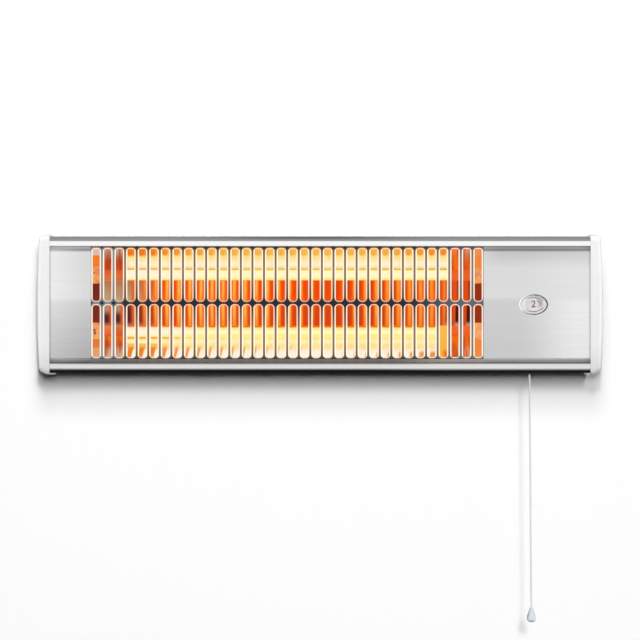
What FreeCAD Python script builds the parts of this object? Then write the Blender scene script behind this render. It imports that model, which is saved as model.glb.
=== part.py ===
import FreeCAD, Part
import math
import os

# Wall-hung quartz infrared heater with two tubes, a slotted aluminium cover and a pull cord.
# Millimetres. X runs to the right, Y into the wall and Z up. The wall is the plane Y = 0,
# and the origin lies midway between the two wall screws of the tilting bracket.

V = FreeCAD.Vector

# Housing: an aluminium cover of constant section between two moulded end caps
housing_width = 566.0
cover_height = 136.4
cover_depth = 74.0
wall_gap = 34.0
cover_wall = 1.2
edge_radius = 5.0
rail_height = 5.0
rail_corner = 0.8
face_recess = 5.5
cove_radius = 4.3
rear_radius = 10.0
rear_flange = 14.0

# End caps
cap_width = 12.5
cap_proud = 1.8
cap_grip = 3.0
cap_wall = 3.0
cap_edge_radius = 4.0
cap_bow = 2.2
cap_top_draft = 2.0
cap_bottom_draft = 4.8
cap_fit = 0.15
cap_boss_radius = 4.0
cap_screw_height = 38.0
tab_reach = 5.0
tab_width = 22.0
tab_wall = 1.6
tab_depth = 20.0

# Grille: two rows of upright slots with bevelled rims, punched in the cover
slot_pitch = 11.59
slot_width = 9.9
slot_outer_corner = 2.5
slot_inner_corner = 4.1
slot_bevel = 1.35
slot_bevel_depth = 0.8
row_gap = 1.5
slot_top_margin = 1.2
slot_bottom_margin = 4.2
grille_left_margin = 46.4
control_length = 112.1

# Rear panel: a tray whose end flanges take the cap screws
panel_wall = 1.0
panel_end_flange = 16.0
vent_count = 16
vent_pitch = 12.0
vent_width = 4.0
vent_length = 20.0
vent_height = 30.0

# Heat chamber
chamber_margin = 14.0
plate_wall = 1.2
plate_clearance = 0.5
plate_foot = 12.0
tube_diameter = 11.0
tube_wall = 1.2
tube_depth = 20.0
tube_fit = 0.05
coil_diameter = 7.4
cold_end = 22.0
pin_diameter = 2.0
pin_fit = 0.1
pin_reach = 4.0
ceramic_diameter = 17.0
ceramic_reach = 18.0
ceramic_neck_diameter = 13.0
ceramic_neck = 8.0
ceramic_socket = 12.0
ceramic_fit = 0.1
ceramic_round = 1.0
trough_depth = 16.0
trough_front_gap = 4.0
ridge_offset = 6.0
reflector_wall = 0.8
link_width = 9.0
link_wall = 0.8
link_corner = 4.0
cutout_radius = 8.0
cutout_thickness = 6.0
cutout_cap_radius = 5.6

# Controls
lens_inset = 56.8
lens_width = 29.0
lens_height = 20.7
lens_rim = 1.0
lens_rise = 2.2
lens_fit = 0.1
lens_ridges = 3
lens_ridge_step = 3.0
dial_offset = 20.0
dial_radius = 31.5
dial_thickness = 1.6
dial_gap = 2.0
dial_shaft_diameter = 6.0
dial_shaft_length = 9.0
shaft_fit = 0.05
switch_width = 36.0
switch_height = 40.0
switch_depth = 28.0
switch_gap = 1.4
switch_corner = 2.5
switch_nose = 4.0
switch_nose_radius = 5.0
bracket_sheet = 1.2
bracket_strip = 24.0
bracket_foot = 9.0
plunger_diameter = 4.0
plunger_hold = 5.0
plunger_below = 6.0
plunger_fit = 0.1
collar_diameter = 6.0
collar_length = 4.0
pull_travel = 12.0

# Pull cord
cord_inset = 60.3
cord_depth = 16.0
cord_diameter = 1.8
cord_joint_gap = 0.5
grommet_bore = 3.2
grommet_neck = 7.0
grommet_flange = 10.0
grommet_lip = 0.8
grommet_fit = 0.1
bell_top_diameter = 3.4
bell_diameter = 8.8
bell_height = 14.4
bell_bore = 2.4
bell_bore_depth = 5.0
bell_lip = 0.2
bell_shoulder = 8.6
bell_shoulder_round = 5.0
bell_foot_round = 3.0
cord_entry = 4.0
arc_share = 0.45
cord_route = [
    (0.0, 0.0, 0.0),
    (0.35, 0.0, -58.5),
    (0.9, 0.0, -118.0),
    (1.25, 0.0, -178.5),
    (1.8, 0.0, -238.5),
]

# Terminals and cable entry
block_width = 45.0
block_height = 18.0
block_depth = 16.0
block_lift = 30.0
block_inset = 64.0
block_corner = 1.0
block_groove = 2.0
block_groove_depth = 5.0
pole_count = 3
pole_screw_diameter = 4.0
pole_screw_depth = 5.0
pole_screw_height = 3.5
gland_inset = 20.0
gland_lift = 30.0
gland_neck_diameter = 12.0
gland_neck_tail = 2.0
gland_flange_diameter = 18.0
gland_flange = 3.0
gland_dome = 9.0
gland_dome_diameter = 13.0
gland_dome_foot = 15.0
gland_dome_round = 2.0
gland_bore = 8.0
gland_nut = 4.0
gland_nut_sides = 6
gland_fit = 0.1

# Wires between the terminals, the cut-out, the switch and the tubes
wire_diameter = 2.4
wire_hole_fit = 0.4
wire_panel_gap = 10.0
wire_loop = 10.0
wire_spacing = 3.0
upper_wire_inset = 12.0
feed_drop = 8.0
live_rise = 8.0

# Wall bracket and tilting pivot
bracket_width = 300.0
bracket_height = 32.0
bracket_wall = 2.0
bracket_bend = 4.0
screw_spacing = 180.0
wall_hole_diameter = 5.5
pivot_setback = 15.0
ear_radius = 12.0
lug_radius = 10.0
lug_wall = 2.0
lug_base_width = 22.0
lug_base_height = 40.0
washer_thickness = 1.0
washer_diameter = 16.0
pivot_diameter = 6.0
pivot_fit = 0.05
pivot_head_diameter = 12.0
pivot_head = 3.0
pivot_head_round = 1.0
pivot_thread = 9.0
knob_diameter = 24.0
knob_length = 12.0
knob_base_diameter = 17.0
knob_flare = 3.6
knob_round = 1.2
knob_bore_spare = 1.0
knob_scallops = 8
knob_scallop_radius = 3.0
knob_scallop_offset = 1.5

# Small screws
screw_diameter = 3.0
screw_clearance = 0.2
screw_head_diameter = 6.0
screw_head = 1.7
screw_tail = 4.0
panel_screw_spread = 200.0

# Rounding of small turned edges, and the distance at which two points count as one
small_round = 0.4
same_point = 1e-6

# Places worked out from the sizes above, with depths counted back from the rail fronts
front_y = -(wall_gap + cover_depth)
half_height = cover_height / 2
half_width = housing_width / 2
visible_half = half_width - cap_width
cover_half = visible_half + cap_grip
rail_inner = half_height - edge_radius - rail_height
cove = min(cove_radius, face_recess - rail_corner, face_recess - cover_wall)
face_back = face_recess + cover_wall
panel_back = cover_depth - cover_wall
panel_front = panel_back - panel_wall
panel_half = half_height - rear_radius
cap_inner = half_width - cap_bow - cap_wall
cap_seat = half_width - cap_bow - screw_head
flange_edge = panel_half - rear_flange

grille_top = rail_inner - slot_top_margin
grille_bottom = slot_bottom_margin - rail_inner
slot_length = (grille_top - grille_bottom - row_gap) / 2
row_heights = {
    "upper": grille_top - slot_length / 2,
    "lower": grille_bottom + slot_length / 2,
}
grille_middle = (grille_top + grille_bottom) / 2
grille_span = 2 * visible_half - grille_left_margin - control_length
columns = round(grille_span / slot_pitch) + 1
slots_width = (columns - 1) * slot_pitch
first_slot = -visible_half + grille_left_margin + (grille_span - slots_width) / 2
plate_left = first_slot - chamber_margin
plate_right = first_slot + slots_width + chamber_margin

tube_axis_depth = face_back + tube_depth
trough_axis_depth = face_back + trough_depth
row_half = (slot_length + row_gap) / 2
trough_radius = math.hypot(row_half, ridge_offset)

lens_x = visible_half - lens_inset
dial_front = face_back + dial_gap
dial_back = dial_front + dial_thickness
switch_front = dial_back + switch_gap
switch_back = switch_front + switch_depth
switch_bottom = -dial_offset - switch_height / 2
switch_top = switch_bottom + switch_height
switch_left = lens_x - switch_width / 2
cord_x = visible_half - cord_inset
plunger_bottom = switch_bottom - switch_nose - plunger_below
plunger_engaged = pull_travel + plunger_hold
cord_exit = -half_height - grommet_lip

pin_end = plate_right + plate_wall + ceramic_neck + pin_reach
link_face = plate_left - plate_wall - ceramic_neck
cutout_depth = tube_axis_depth + cutout_radius
cutout_face = plate_right + plate_wall + cutout_thickness
wire_depth = panel_front - wire_panel_gap
block_left = visible_half - block_inset - block_width / 2
block_bottom = block_lift - block_height / 2
pole_pitch = block_width / pole_count

pivot_y = -(wall_gap - pivot_setback)
ear_inner = bracket_width / 2 - bracket_wall
lug_outer = ear_inner - washer_thickness
lug_inner = lug_outer - lug_wall


def point(x, depth, z):
    """Point at a depth behind the rail fronts."""
    return V(x, front_y + depth, z)


def rounded_wire(corners, place):
    """Closed wire through corners (u, v, radius), put into space by place(u, v)."""
    count = len(corners)
    stops = []
    for index in range(count):
        u, v, radius = corners[index]
        corner = V(u, v, 0)
        before = V(*corners[index - 1][:2], 0) - corner
        after = V(*corners[(index + 1) % count][:2], 0) - corner
        before.normalize()
        after.normalize()
        if radius <= 0:
            stops.append((corner, None, corner))
            continue
        half_angle = before.getAngle(after) / 2
        run = radius / math.tan(half_angle)
        bisector = before + after
        bisector.normalize()
        middle = corner + bisector * (radius / math.sin(half_angle) - radius)
        stops.append((corner + before * run, middle, corner + after * run))
    edges = []
    for index in range(count):
        start, middle, end = stops[index]
        end = place(end.x, end.y)
        if middle is not None:
            start = place(start.x, start.y)
            middle = place(middle.x, middle.y)
            edges.append(Part.Arc(start, middle, end).toShape())
        following = stops[(index + 1) % count][0]
        following = place(following.x, following.y)
        if end.distanceToPoint(following) > same_point:
            edges.append(Part.LineSegment(end, following).toShape())
    return Part.Wire(edges)


def extrude_x(corners, x_start, x_end):
    """Solid of constant section, given as (depth, z, radius) corners, along X."""
    wire = rounded_wire(corners, lambda depth, z: point(x_start, depth, z))
    return Part.Face(wire).extrude(V(x_end - x_start, 0, 0))


def extrude_back(corners, depth, thickness):
    """Solid of (x, z, radius) corners, from a depth backwards."""
    wire = rounded_wire(corners, lambda x, z: point(x, depth, z))
    return Part.Face(wire).extrude(V(0, thickness, 0))


def extrude_up(corners, z_start, z_end):
    """Solid of (x, depth, radius) corners, from one height to another."""
    wire = rounded_wire(corners, lambda x, depth: point(x, depth, z_start))
    return Part.Face(wire).extrude(V(0, 0, z_end - z_start))


def turned(corners, base, direction):
    """Solid of revolution of (radius, distance, rounding) corners about a direction."""
    wire = rounded_wire(corners, lambda radius, distance: V(radius, 0, distance))
    solid = Part.Face(wire).revolve(V(0, 0, 0), V(0, 0, 1), 360)
    solid.Placement = FreeCAD.Placement(base, FreeCAD.Rotation(V(0, 0, 1), direction))
    return solid


def rod(radius, length, base, direction):
    """Plain cylinder from a base point."""
    return Part.makeCylinder(radius, length, base, direction)


def rectangle(left, right, low, high, radius=0.0):
    """Four corners of one rounding."""
    return [(left, low, radius), (right, low, radius), (right, high, radius), (left, high, radius)]


def mirrored(shape):
    """Copy on the other side of the middle plane."""
    return shape.mirror(V(0, 0, 0), V(1, 0, 0))


def slot_wire(width, length, top_radius, bottom_radius, depth):
    """Upright slot outline about X = 0, Z = 0, with its corners rounded at the top and the bottom."""
    low = rectangle(-width / 2, width / 2, -length / 2, length / 2, bottom_radius)[:2]
    high = rectangle(-width / 2, width / 2, -length / 2, length / 2, top_radius)[2:]
    return rounded_wire(low + high, lambda x, z: point(x, depth, z))


def ellipse_plate(width, height, depth, thickness):
    """Oval plate about the lens centre."""
    curve = Part.Ellipse(point(lens_x, depth, 0), width / 2, height / 2)
    wire = Part.Wire([curve.toShape()])
    wire.rotate(point(lens_x, depth, 0), V(1, 0, 0), 90)
    return Part.Face(wire).extrude(V(0, thickness, 0))


def outer_section(grow):
    """Closed outline of the cover, grown by a clearance, as (depth, z, radius) corners."""
    upper = [
        (cover_depth + grow, half_height + grow, rear_radius + grow),
        (-grow, half_height + grow, edge_radius + grow),
        (-grow, rail_inner - grow, rail_corner + grow),
        (face_recess - grow, rail_inner - grow, cove - grow),
    ]
    lower = [(depth, -z, radius) for depth, z, radius in reversed(upper)]
    return upper + lower


def sheet_section():
    """Section of the folded cover sheet, open at the rear between its flanges."""
    inner_upper = [
        (face_back, rail_inner + cover_wall, cove + cover_wall),
        (cover_wall, rail_inner + cover_wall, 0.0),
        (cover_wall, half_height - cover_wall, edge_radius - cover_wall),
        (panel_back, half_height - cover_wall, rear_radius - cover_wall),
        (panel_back, flange_edge, 0.0),
    ]
    inner_lower = [(depth, -z, radius) for depth, z, radius in reversed(inner_upper)]
    upper_end = [(cover_depth, flange_edge, 0.0)]
    lower_end = [(cover_depth, -flange_edge, 0.0)]
    return upper_end + outer_section(0.0) + lower_end + inner_lower + inner_upper


def slot_cutter(top_radius, bottom_radius):
    """One slot: a wide mouth in front of the face, a bevelled rim and a narrower throat."""
    top = min(top_radius, slot_width / 2)
    bottom = min(bottom_radius, slot_width / 2)
    mouth = (slot_width, slot_length, top, bottom)
    throat = (
        slot_width - 2 * slot_bevel, slot_length - 2 * slot_bevel, top - slot_bevel, bottom - slot_bevel)
    wires = [
        slot_wire(*mouth, -cover_wall),
        slot_wire(*mouth, face_recess),
        slot_wire(*throat, face_recess + slot_bevel_depth),
        slot_wire(*throat, face_back + cover_wall),
    ]
    return Part.makeLoft(wires, True, True)


def panel_screw_places():
    """Places of the screws that hold the rear panel on the cover flanges."""
    height = panel_half - rear_flange / 2
    places = []
    for x in (-panel_screw_spread, 0.0, panel_screw_spread):
        for z in (-height, height):
            places.append((x, z))
    return places


def screw_hole(base, direction, length):
    """Clearance hole for a small screw."""
    return rod(screw_diameter / 2 + screw_clearance, length, base, direction)


def small_screw(base, direction, length):
    """Pan head on its seat at base, with the shank along direction."""
    shank = screw_diameter / 2
    head = screw_head_diameter / 2
    corners = [
        (0.0, length, 0.0),
        (0.0, -screw_head, 0.0),
        (head, -screw_head, screw_head / 2),
        (head, 0.0, 0.0),
        (shank, 0.0, 0.0),
        (shank, length, 0.0),
    ]
    return turned(corners, base, direction)


def front_cover():
    """Folded aluminium cover with the grille, the lens window and the cord hole."""
    cover = extrude_x(sheet_section(), -cover_half, cover_half)
    cutters = {
        "upper": slot_cutter(slot_outer_corner, slot_inner_corner),
        "lower": slot_cutter(slot_inner_corner, slot_outer_corner),
    }
    cuts = []
    for row, cutter in cutters.items():
        for column in range(columns):
            cuts.append(cutter.translated(V(first_slot + column * slot_pitch, 0, row_heights[row])))
    window_width = lens_width - 2 * lens_rim
    window_height = lens_height - 2 * lens_rim
    cuts.append(ellipse_plate(window_width, window_height, face_recess - cover_wall, 3 * cover_wall))
    cord_hole = grommet_neck / 2 + grommet_fit
    cord_place = point(cord_x, cord_depth, -half_height - cover_wall)
    cuts.append(rod(cord_hole, 3 * cover_wall, cord_place, V(0, 0, 1)))
    for x, z in panel_screw_places():
        cuts.append(screw_hole(point(x, panel_back - cover_wall, z), V(0, 1, 0), 3 * cover_wall))
    return cover.cut(cuts)


def rear_panel():
    """Flat tray behind the flanges, vented, with folded ends."""
    sheet = rectangle(-cover_half, cover_half, -panel_half, panel_half)
    panel = extrude_back(sheet, panel_front, panel_wall)
    end = extrude_back(
        rectangle(cover_half - panel_wall, cover_half, -panel_half, panel_half),
        panel_back - panel_end_flange, panel_end_flange)
    panel = panel.fuse([end, mirrored(end)]).removeSplitter()
    cuts = []
    for index in range(vent_count):
        x = (index - (vent_count - 1) / 2) * vent_pitch
        corner = vent_width / 2
        outline = slot_wire(vent_width, vent_length, corner, corner, panel_front - panel_wall)
        vent = Part.Face(outline).extrude(V(0, 3 * panel_wall, 0))
        cuts.append(vent.translated(V(x, 0, vent_height)))
    for x, z in panel_screw_places():
        cuts.append(screw_hole(point(x, panel_front - panel_wall, z), V(0, 1, 0), 3 * panel_wall))
    for z in (-cap_screw_height, cap_screw_height):
        start = point(cover_half - 2 * panel_wall, panel_back - panel_end_flange / 2, z)
        hole = screw_hole(start, V(1, 0, 0), 3 * panel_wall)
        cuts += [hole, mirrored(hole)]
    gland_hole = gland_neck_diameter / 2 + gland_fit
    gland_place = point(visible_half - gland_inset, panel_front - panel_wall, gland_lift)
    cuts.append(rod(gland_hole, 3 * panel_wall, gland_place, V(0, 1, 0)))
    return panel.cut(cuts)


def panel_screws():
    """Group of screws through the flanges into the rear panel."""
    length = cover_wall + panel_wall + screw_tail
    places = panel_screw_places()
    return [small_screw(point(x, cover_depth, z), V(0, -1, 0), length) for x, z in places]


def cap_outline(top_draft, bottom_draft):
    """Section of a cap, drawn in at its top and bottom, as (depth, z, radius) corners."""
    low = -cap_proud
    high = cover_depth + cap_proud
    top = half_height + cap_proud - top_draft
    bottom = -half_height - cap_proud + bottom_draft
    front_round = edge_radius + cap_proud
    rear_round = rear_radius + cap_proud
    return [
        (low, bottom, front_round),
        (high, bottom, rear_round),
        (high, top, rear_round),
        (low, top, front_round),
    ]


def cap_crown():
    """Prism with a bowed outer end, as wide as the right cap and open to its drafted sides."""
    reach = half_height + cap_proud
    inner_top = point(visible_half, -cap_proud, reach)
    inner_bottom = point(visible_half, -cap_proud, -reach)
    outer_top = point(half_width - cap_bow, -cap_proud, reach)
    outer_bottom = point(half_width - cap_bow, -cap_proud, -reach)
    profile = Part.Wire([
        Part.LineSegment(outer_top, inner_top).toShape(),
        Part.LineSegment(inner_top, inner_bottom).toShape(),
        Part.LineSegment(inner_bottom, outer_bottom).toShape(),
        Part.Arc(outer_bottom, point(half_width, -cap_proud, 0), outer_top).toShape(),
    ])
    return Part.Face(profile).extrude(V(0, cover_depth + 2 * cap_proud, 0))


def end_cap():
    """Right end cap: a moulded tray with a bowed end that grips the cover, and a tab under it."""
    full = cap_outline(0.0, 0.0)
    drafted = cap_outline(cap_top_draft, cap_bottom_draft)
    sections = [
        rounded_wire(full, lambda depth, z: point(cover_half, depth, z)),
        rounded_wire(drafted, lambda depth, z: point(half_width, depth, z)),
    ]
    cap = extrude_x(full, visible_half, cover_half).fuse(Part.makeLoft(sections, True, True))
    cap = cap.removeSplitter().common(cap_crown())
    rim = [edge for edge in cap.Edges if edge.BoundBox.XMin > half_width - cap_bow - cap_fit]
    cap = cap.makeFillet(cap_edge_radius, rim)
    seat = extrude_x(outer_section(cap_fit), visible_half, cover_half)
    inset = cover_wall + cap_wall
    well = rectangle(
        face_back + cap_wall, cover_depth - inset, inset - half_height, half_height - inset, cap_wall)
    cap = cap.cut([seat, extrude_x(well, cover_half, cap_inner)])
    additions = []
    holes = []
    for z in (-cap_screw_height, cap_screw_height):
        base = point(cover_half, panel_back - panel_end_flange / 2, z)
        additions.append(rod(cap_boss_radius, cap_inner - cover_half, base, V(1, 0, 0)))
        holes.append(screw_hole(base, V(1, 0, 0), cap_width))
        head_hole = screw_head_diameter / 2 + screw_clearance
        holes.append(rod(head_hole, cap_width, base + V(cap_seat - cover_half, 0, 0), V(1, 0, 0)))
    half_tab = tab_width / 2
    tab = [
        (visible_half - tab_reach, tab_depth - half_tab, tab_reach),
        (visible_half + cap_wall, tab_depth - half_tab, 0.0),
        (visible_half + cap_wall, tab_depth + half_tab, 0.0),
        (visible_half - tab_reach, tab_depth + half_tab, tab_reach),
    ]
    tab_top = -half_height - cap_fit
    additions.append(extrude_up(tab, tab_top - tab_wall, tab_top))
    return cap.fuse(additions).cut(holes).removeSplitter()


def cap_screws():
    """Group of screws through both caps into the end flanges."""
    length = cap_seat - cover_half + panel_wall + screw_tail
    screws = []
    for z in (-cap_screw_height, cap_screw_height):
        seat = point(cap_seat, panel_back - panel_end_flange / 2, z)
        screw = small_screw(seat, V(-1, 0, 0), length)
        screws += [screw, mirrored(screw)]
    return screws


def end_plate(inner_face, outward):
    """Sheet plate at one end of the heat chamber, with a foot turned in on the rear panel."""
    reach = half_height - 2 * cover_wall
    outline = [
        (face_back + plate_clearance, -rail_inner, 0.0),
        (panel_front, -reach, rear_radius),
        (panel_front, reach, rear_radius),
        (face_back + plate_clearance, rail_inner, 0.0),
    ]
    far_face = inner_face + outward * plate_wall
    plate = extrude_x(outline, inner_face, far_face)
    foot_end = far_face - outward * plate_foot
    foot = extrude_back(
        rectangle(min(far_face, foot_end), max(far_face, foot_end), -flange_edge, flange_edge),
        panel_front - plate_wall, plate_wall)
    plate = plate.fuse(foot).removeSplitter()
    hole = ceramic_neck_diameter / 2 + ceramic_fit
    holes = []
    for height in row_heights.values():
        base = point(inner_face - outward * plate_wall, tube_axis_depth, height)
        holes.append(rod(hole, 3 * plate_wall, base, V(outward, 0, 0)))
    wire_hole = wire_diameter / 2 + wire_hole_fit
    wire_base = point(inner_face - outward * plate_wall, wire_depth, grille_middle)
    holes.append(rod(wire_hole, 3 * plate_wall, wire_base, V(outward, 0, 0)))
    return plate.cut(holes)


def reflector():
    """Polished double trough between the end plates."""
    front = face_back + trough_front_gap

    def trough(grow, height, mirror):
        """Wall and arc of one half, from its front lip to the ridge in the middle."""
        radius = trough_radius + grow
        lip = height + mirror * radius
        ridge_depth = trough_axis_depth + math.sqrt(radius ** 2 - row_half ** 2)
        return [
            point(plate_left, front, lip),
            point(plate_left, trough_axis_depth, lip),
            point(plate_left, trough_axis_depth + radius, height),
            point(plate_left, ridge_depth, grille_middle),
        ]

    edges = []
    ends = {}
    for grow in (0.0, reflector_wall):
        for name, mirror in (("upper", 1), ("lower", -1)):
            lip, bend, bottom, ridge = trough(grow, row_heights[name], mirror)
            edges.append(Part.LineSegment(lip, bend).toShape())
            edges.append(Part.Arc(bend, bottom, ridge).toShape())
            ends[grow, name] = lip
    for name in ("upper", "lower"):
        edges.append(Part.LineSegment(ends[0.0, name], ends[reflector_wall, name]).toShape())
    wire = Part.Wire(Part.__sortEdges__(edges))
    return Part.Face(wire).extrude(V(plate_right - plate_left, 0, 0))


def quartz_tube(height):
    """Open quartz tube between two ceramic ends."""
    inset = ceramic_reach - ceramic_socket
    start = plate_left + inset
    length = plate_right - plate_left - 2 * inset
    base = point(start, tube_axis_depth, height)
    outer = rod(tube_diameter / 2, length, base, V(1, 0, 0))
    return outer.cut(rod(tube_diameter / 2 - tube_wall, length, base, V(1, 0, 0)))


def heating_coil(height):
    """Close-wound coil as its outer form, with a terminal pin at each end."""
    start = plate_left - plate_wall - ceramic_neck - pin_reach
    length = plate_right - plate_left + 2 * (plate_wall + ceramic_neck + pin_reach)
    hot_start = plate_left + ceramic_reach + cold_end - start
    corners = [
        (0.0, 0.0, 0.0),
        (pin_diameter / 2, 0.0, 0.0),
        (pin_diameter / 2, hot_start, 0.0),
        (coil_diameter / 2, hot_start, 0.0),
        (coil_diameter / 2, length - hot_start, 0.0),
        (pin_diameter / 2, length - hot_start, 0.0),
        (pin_diameter / 2, length, 0.0),
        (0.0, length, 0.0),
    ]
    return turned(corners, point(start, tube_axis_depth, height), V(1, 0, 0))


def ceramic_end(inner_face, outward, height):
    """Ceramic holder: a collar inside the chamber and a neck through the end plate."""
    socket = tube_diameter / 2 + tube_fit
    pin_hole = pin_diameter / 2 + pin_fit
    neck_end = plate_wall + ceramic_neck
    socket_floor = ceramic_socket - ceramic_reach
    corners = [
        (socket, -ceramic_reach, 0.0),
        (ceramic_diameter / 2, -ceramic_reach, ceramic_round),
        (ceramic_diameter / 2, 0.0, 0.0),
        (ceramic_neck_diameter / 2, 0.0, 0.0),
        (ceramic_neck_diameter / 2, neck_end, ceramic_round),
        (pin_hole, neck_end, 0.0),
        (pin_hole, socket_floor, 0.0),
        (socket, socket_floor, 0.0),
    ]
    return turned(corners, point(inner_face, tube_axis_depth, height), V(outward, 0, 0))


def neutral_link():
    """Strip that joins the left pins of both tubes, seated on the ceramic necks."""
    low = row_heights["lower"]
    high = row_heights["upper"]
    half = link_width / 2
    corner = min(link_corner, half)
    outline = rectangle(tube_axis_depth - half, tube_axis_depth + half, low - half, high + half, corner)
    strip = extrude_x(outline, link_face - link_wall, link_face)
    holes = []
    for height in (low, high):
        base = point(link_face - 2 * link_wall, tube_axis_depth, height)
        holes.append(rod(pin_diameter / 2 + pin_fit, 3 * link_wall, base, V(1, 0, 0)))
    return strip.cut(holes)


def thermal_cutout():
    """Disc thermostat on the outside of the right end plate."""
    base = point(plate_right + plate_wall, cutout_depth, grille_middle)
    corners = [
        (0.0, 0.0, 0.0),
        (cutout_radius, 0.0, 0.0),
        (cutout_radius, cutout_thickness / 2, small_round),
        (cutout_cap_radius, cutout_thickness / 2, 0.0),
        (cutout_cap_radius, cutout_thickness, small_round),
        (0.0, cutout_thickness, 0.0),
    ]
    return turned(corners, base, V(1, 0, 0))


def indicator_lens():
    """Clear oval lens with stepped ridges, plugged into the window of the cover."""
    plug_width = lens_width - 2 * lens_rim - 2 * lens_fit
    plug_height = lens_height - 2 * lens_rim - 2 * lens_fit
    lens = ellipse_plate(plug_width, plug_height, face_recess, cover_wall + dial_gap / 2)
    rise = lens_rise / lens_ridges
    pieces = []
    for ridge in range(lens_ridges):
        width = lens_width - ridge * lens_ridge_step
        height = lens_height - ridge * lens_ridge_step
        top = (ridge + 1) * rise
        pieces.append(ellipse_plate(width, height, face_recess - top, top))
    return lens.fuse(pieces).removeSplitter()


def indicator_dial():
    """Numbered disc behind the lens, on a shaft that runs in the switch."""
    reach = dial_thickness + switch_gap + dial_shaft_length
    corners = [
        (0.0, 0.0, 0.0),
        (dial_radius, 0.0, small_round),
        (dial_radius, dial_thickness, 0.0),
        (dial_shaft_diameter / 2, dial_thickness, 0.0),
        (dial_shaft_diameter / 2, reach, small_round),
        (0.0, reach, 0.0),
    ]
    return turned(corners, point(lens_x, dial_front, -dial_offset), V(0, 1, 0))


def pull_switch():
    """Switch body with the shaft bore in front and the plunger nose below."""
    half = switch_width / 2
    outline = rectangle(switch_left, lens_x + half, switch_bottom, switch_top, switch_corner)
    body = extrude_back(outline, switch_front, switch_depth)
    nose_base = point(cord_x, cord_depth, switch_bottom - switch_nose)
    body = body.fuse(rod(switch_nose_radius, switch_nose + switch_corner, nose_base, V(0, 0, 1)))
    shaft_hole = dial_shaft_diameter / 2 + shaft_fit
    shaft_place = point(lens_x, switch_front, -dial_offset)
    shaft_bore = rod(shaft_hole, dial_shaft_length + switch_gap, shaft_place, V(0, 1, 0))
    plunger_hole = plunger_diameter / 2 + plunger_fit
    plunger_bore = rod(plunger_hole, plunger_engaged + switch_gap, nose_base, V(0, 0, 1))
    return body.cut([shaft_bore, plunger_bore])


def switch_bracket():
    """Hat-shaped sheet that carries the switch on the rear panel."""
    half = switch_width / 2 + bracket_sheet
    sheet = bracket_sheet
    outer = lens_x + half
    foot = outer + bracket_foot
    right = [
        (outer, switch_back, sheet),
        (outer, panel_front - sheet, 0.0),
        (foot, panel_front - sheet, 0.0),
        (foot, panel_front, 0.0),
        (outer - sheet, panel_front, 0.0),
        (outer - sheet, switch_back + sheet, 0.0),
    ]
    left = [(2 * lens_x - x, depth, radius) for x, depth, radius in reversed(right)]
    half_strip = bracket_strip / 2
    return extrude_up(right + left, -dial_offset - half_strip, -dial_offset + half_strip)


def pull_plunger():
    """Rod that the cord pulls out of the switch, with an eye collar at its end."""
    radius = plunger_diameter / 2
    length = plunger_below + plunger_engaged
    corners = [
        (0.0, 0.0, 0.0),
        (collar_diameter / 2, 0.0, small_round),
        (collar_diameter / 2, collar_length, small_round),
        (radius, collar_length, 0.0),
        (radius, length, small_round),
        (0.0, length, 0.0),
    ]
    return turned(corners, point(cord_x, cord_depth, plunger_bottom), V(0, 0, 1))


def cord_grommet():
    """Bush in the bottom wall of the cover that the cord runs through."""
    bore = grommet_bore / 2
    neck = grommet_neck / 2
    flange = grommet_flange / 2
    top = grommet_lip + cover_wall
    corners = [
        (bore, 0.0, small_round),
        (flange, 0.0, small_round),
        (flange, grommet_lip, 0.0),
        (neck, grommet_lip, 0.0),
        (neck, top, 0.0),
        (flange, top, 0.0),
        (flange, top + grommet_lip, small_round),
        (bore, top + grommet_lip, small_round),
    ]
    return turned(corners, point(cord_x, cord_depth, cord_exit), V(0, 0, 1))


def cord_head():
    """Stretch of cord between the plunger and the mouth of the bush."""
    mouth = point(cord_x, cord_depth, cord_exit)
    return rod(cord_diameter / 2, plunger_bottom - cord_exit, mouth, V(0, 0, 1))


def bent_tube(label, stops, diameter):
    """Round tube along straight runs joined by tangent arcs as wide as the runs allow."""
    edges = []
    start = stops[0]
    for index in range(1, len(stops) - 1):
        corner = stops[index]
        before = stops[index - 1] - corner
        after = stops[index + 1] - corner
        run = arc_share * min(before.Length, after.Length)
        turn = math.pi - before.getAngle(after)
        radius = run / math.tan(turn / 2)
        print(label, "radius", round(radius, 1), "turn", round(math.degrees(turn), 2))
        before.normalize()
        after.normalize()
        bisector = before + after
        bisector.normalize()
        middle = corner + bisector * (radius / math.cos(turn / 2) - radius)
        edges.append(Part.LineSegment(start, corner + before * run).toShape())
        edges.append(Part.Arc(corner + before * run, middle, corner + after * run).toShape())
        start = corner + after * run
    edges.append(Part.LineSegment(start, stops[-1]).toShape())
    path = Part.Wire(edges)
    circle = Part.Wire([Part.Circle(stops[0], stops[1] - stops[0], diameter / 2).toShape()])
    tube = path.makePipeShell([circle], True, False)
    filled = math.pi * diameter ** 2 / 4 * path.Length
    print(label, "length", round(path.Length, 2), "volume ratio", round(tube.Volume / filled, 5))
    return tube


def pull_cord():
    """Free cord from the mouth of the bush into the bell."""
    exit_point = point(cord_x, cord_depth, cord_exit - cord_joint_gap)
    return bent_tube("cord", [exit_point + V(*offset) for offset in cord_route], cord_diameter)


def upper_lead():
    """Wire from the upper tube down to the top of the switch."""
    height = row_heights["upper"]
    x = lens_x - upper_wire_inset
    stops = [
        point(pin_end, tube_axis_depth, height),
        point(x, tube_axis_depth, height),
        point(x, tube_axis_depth, switch_top),
    ]
    return bent_tube("upper lead", stops, wire_diameter)


def lower_lead():
    """Short sleeve from the lower tube to the side of the switch."""
    base = point(pin_end, tube_axis_depth, row_heights["lower"])
    return rod(wire_diameter / 2, switch_left - pin_end, base, V(1, 0, 0))


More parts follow.
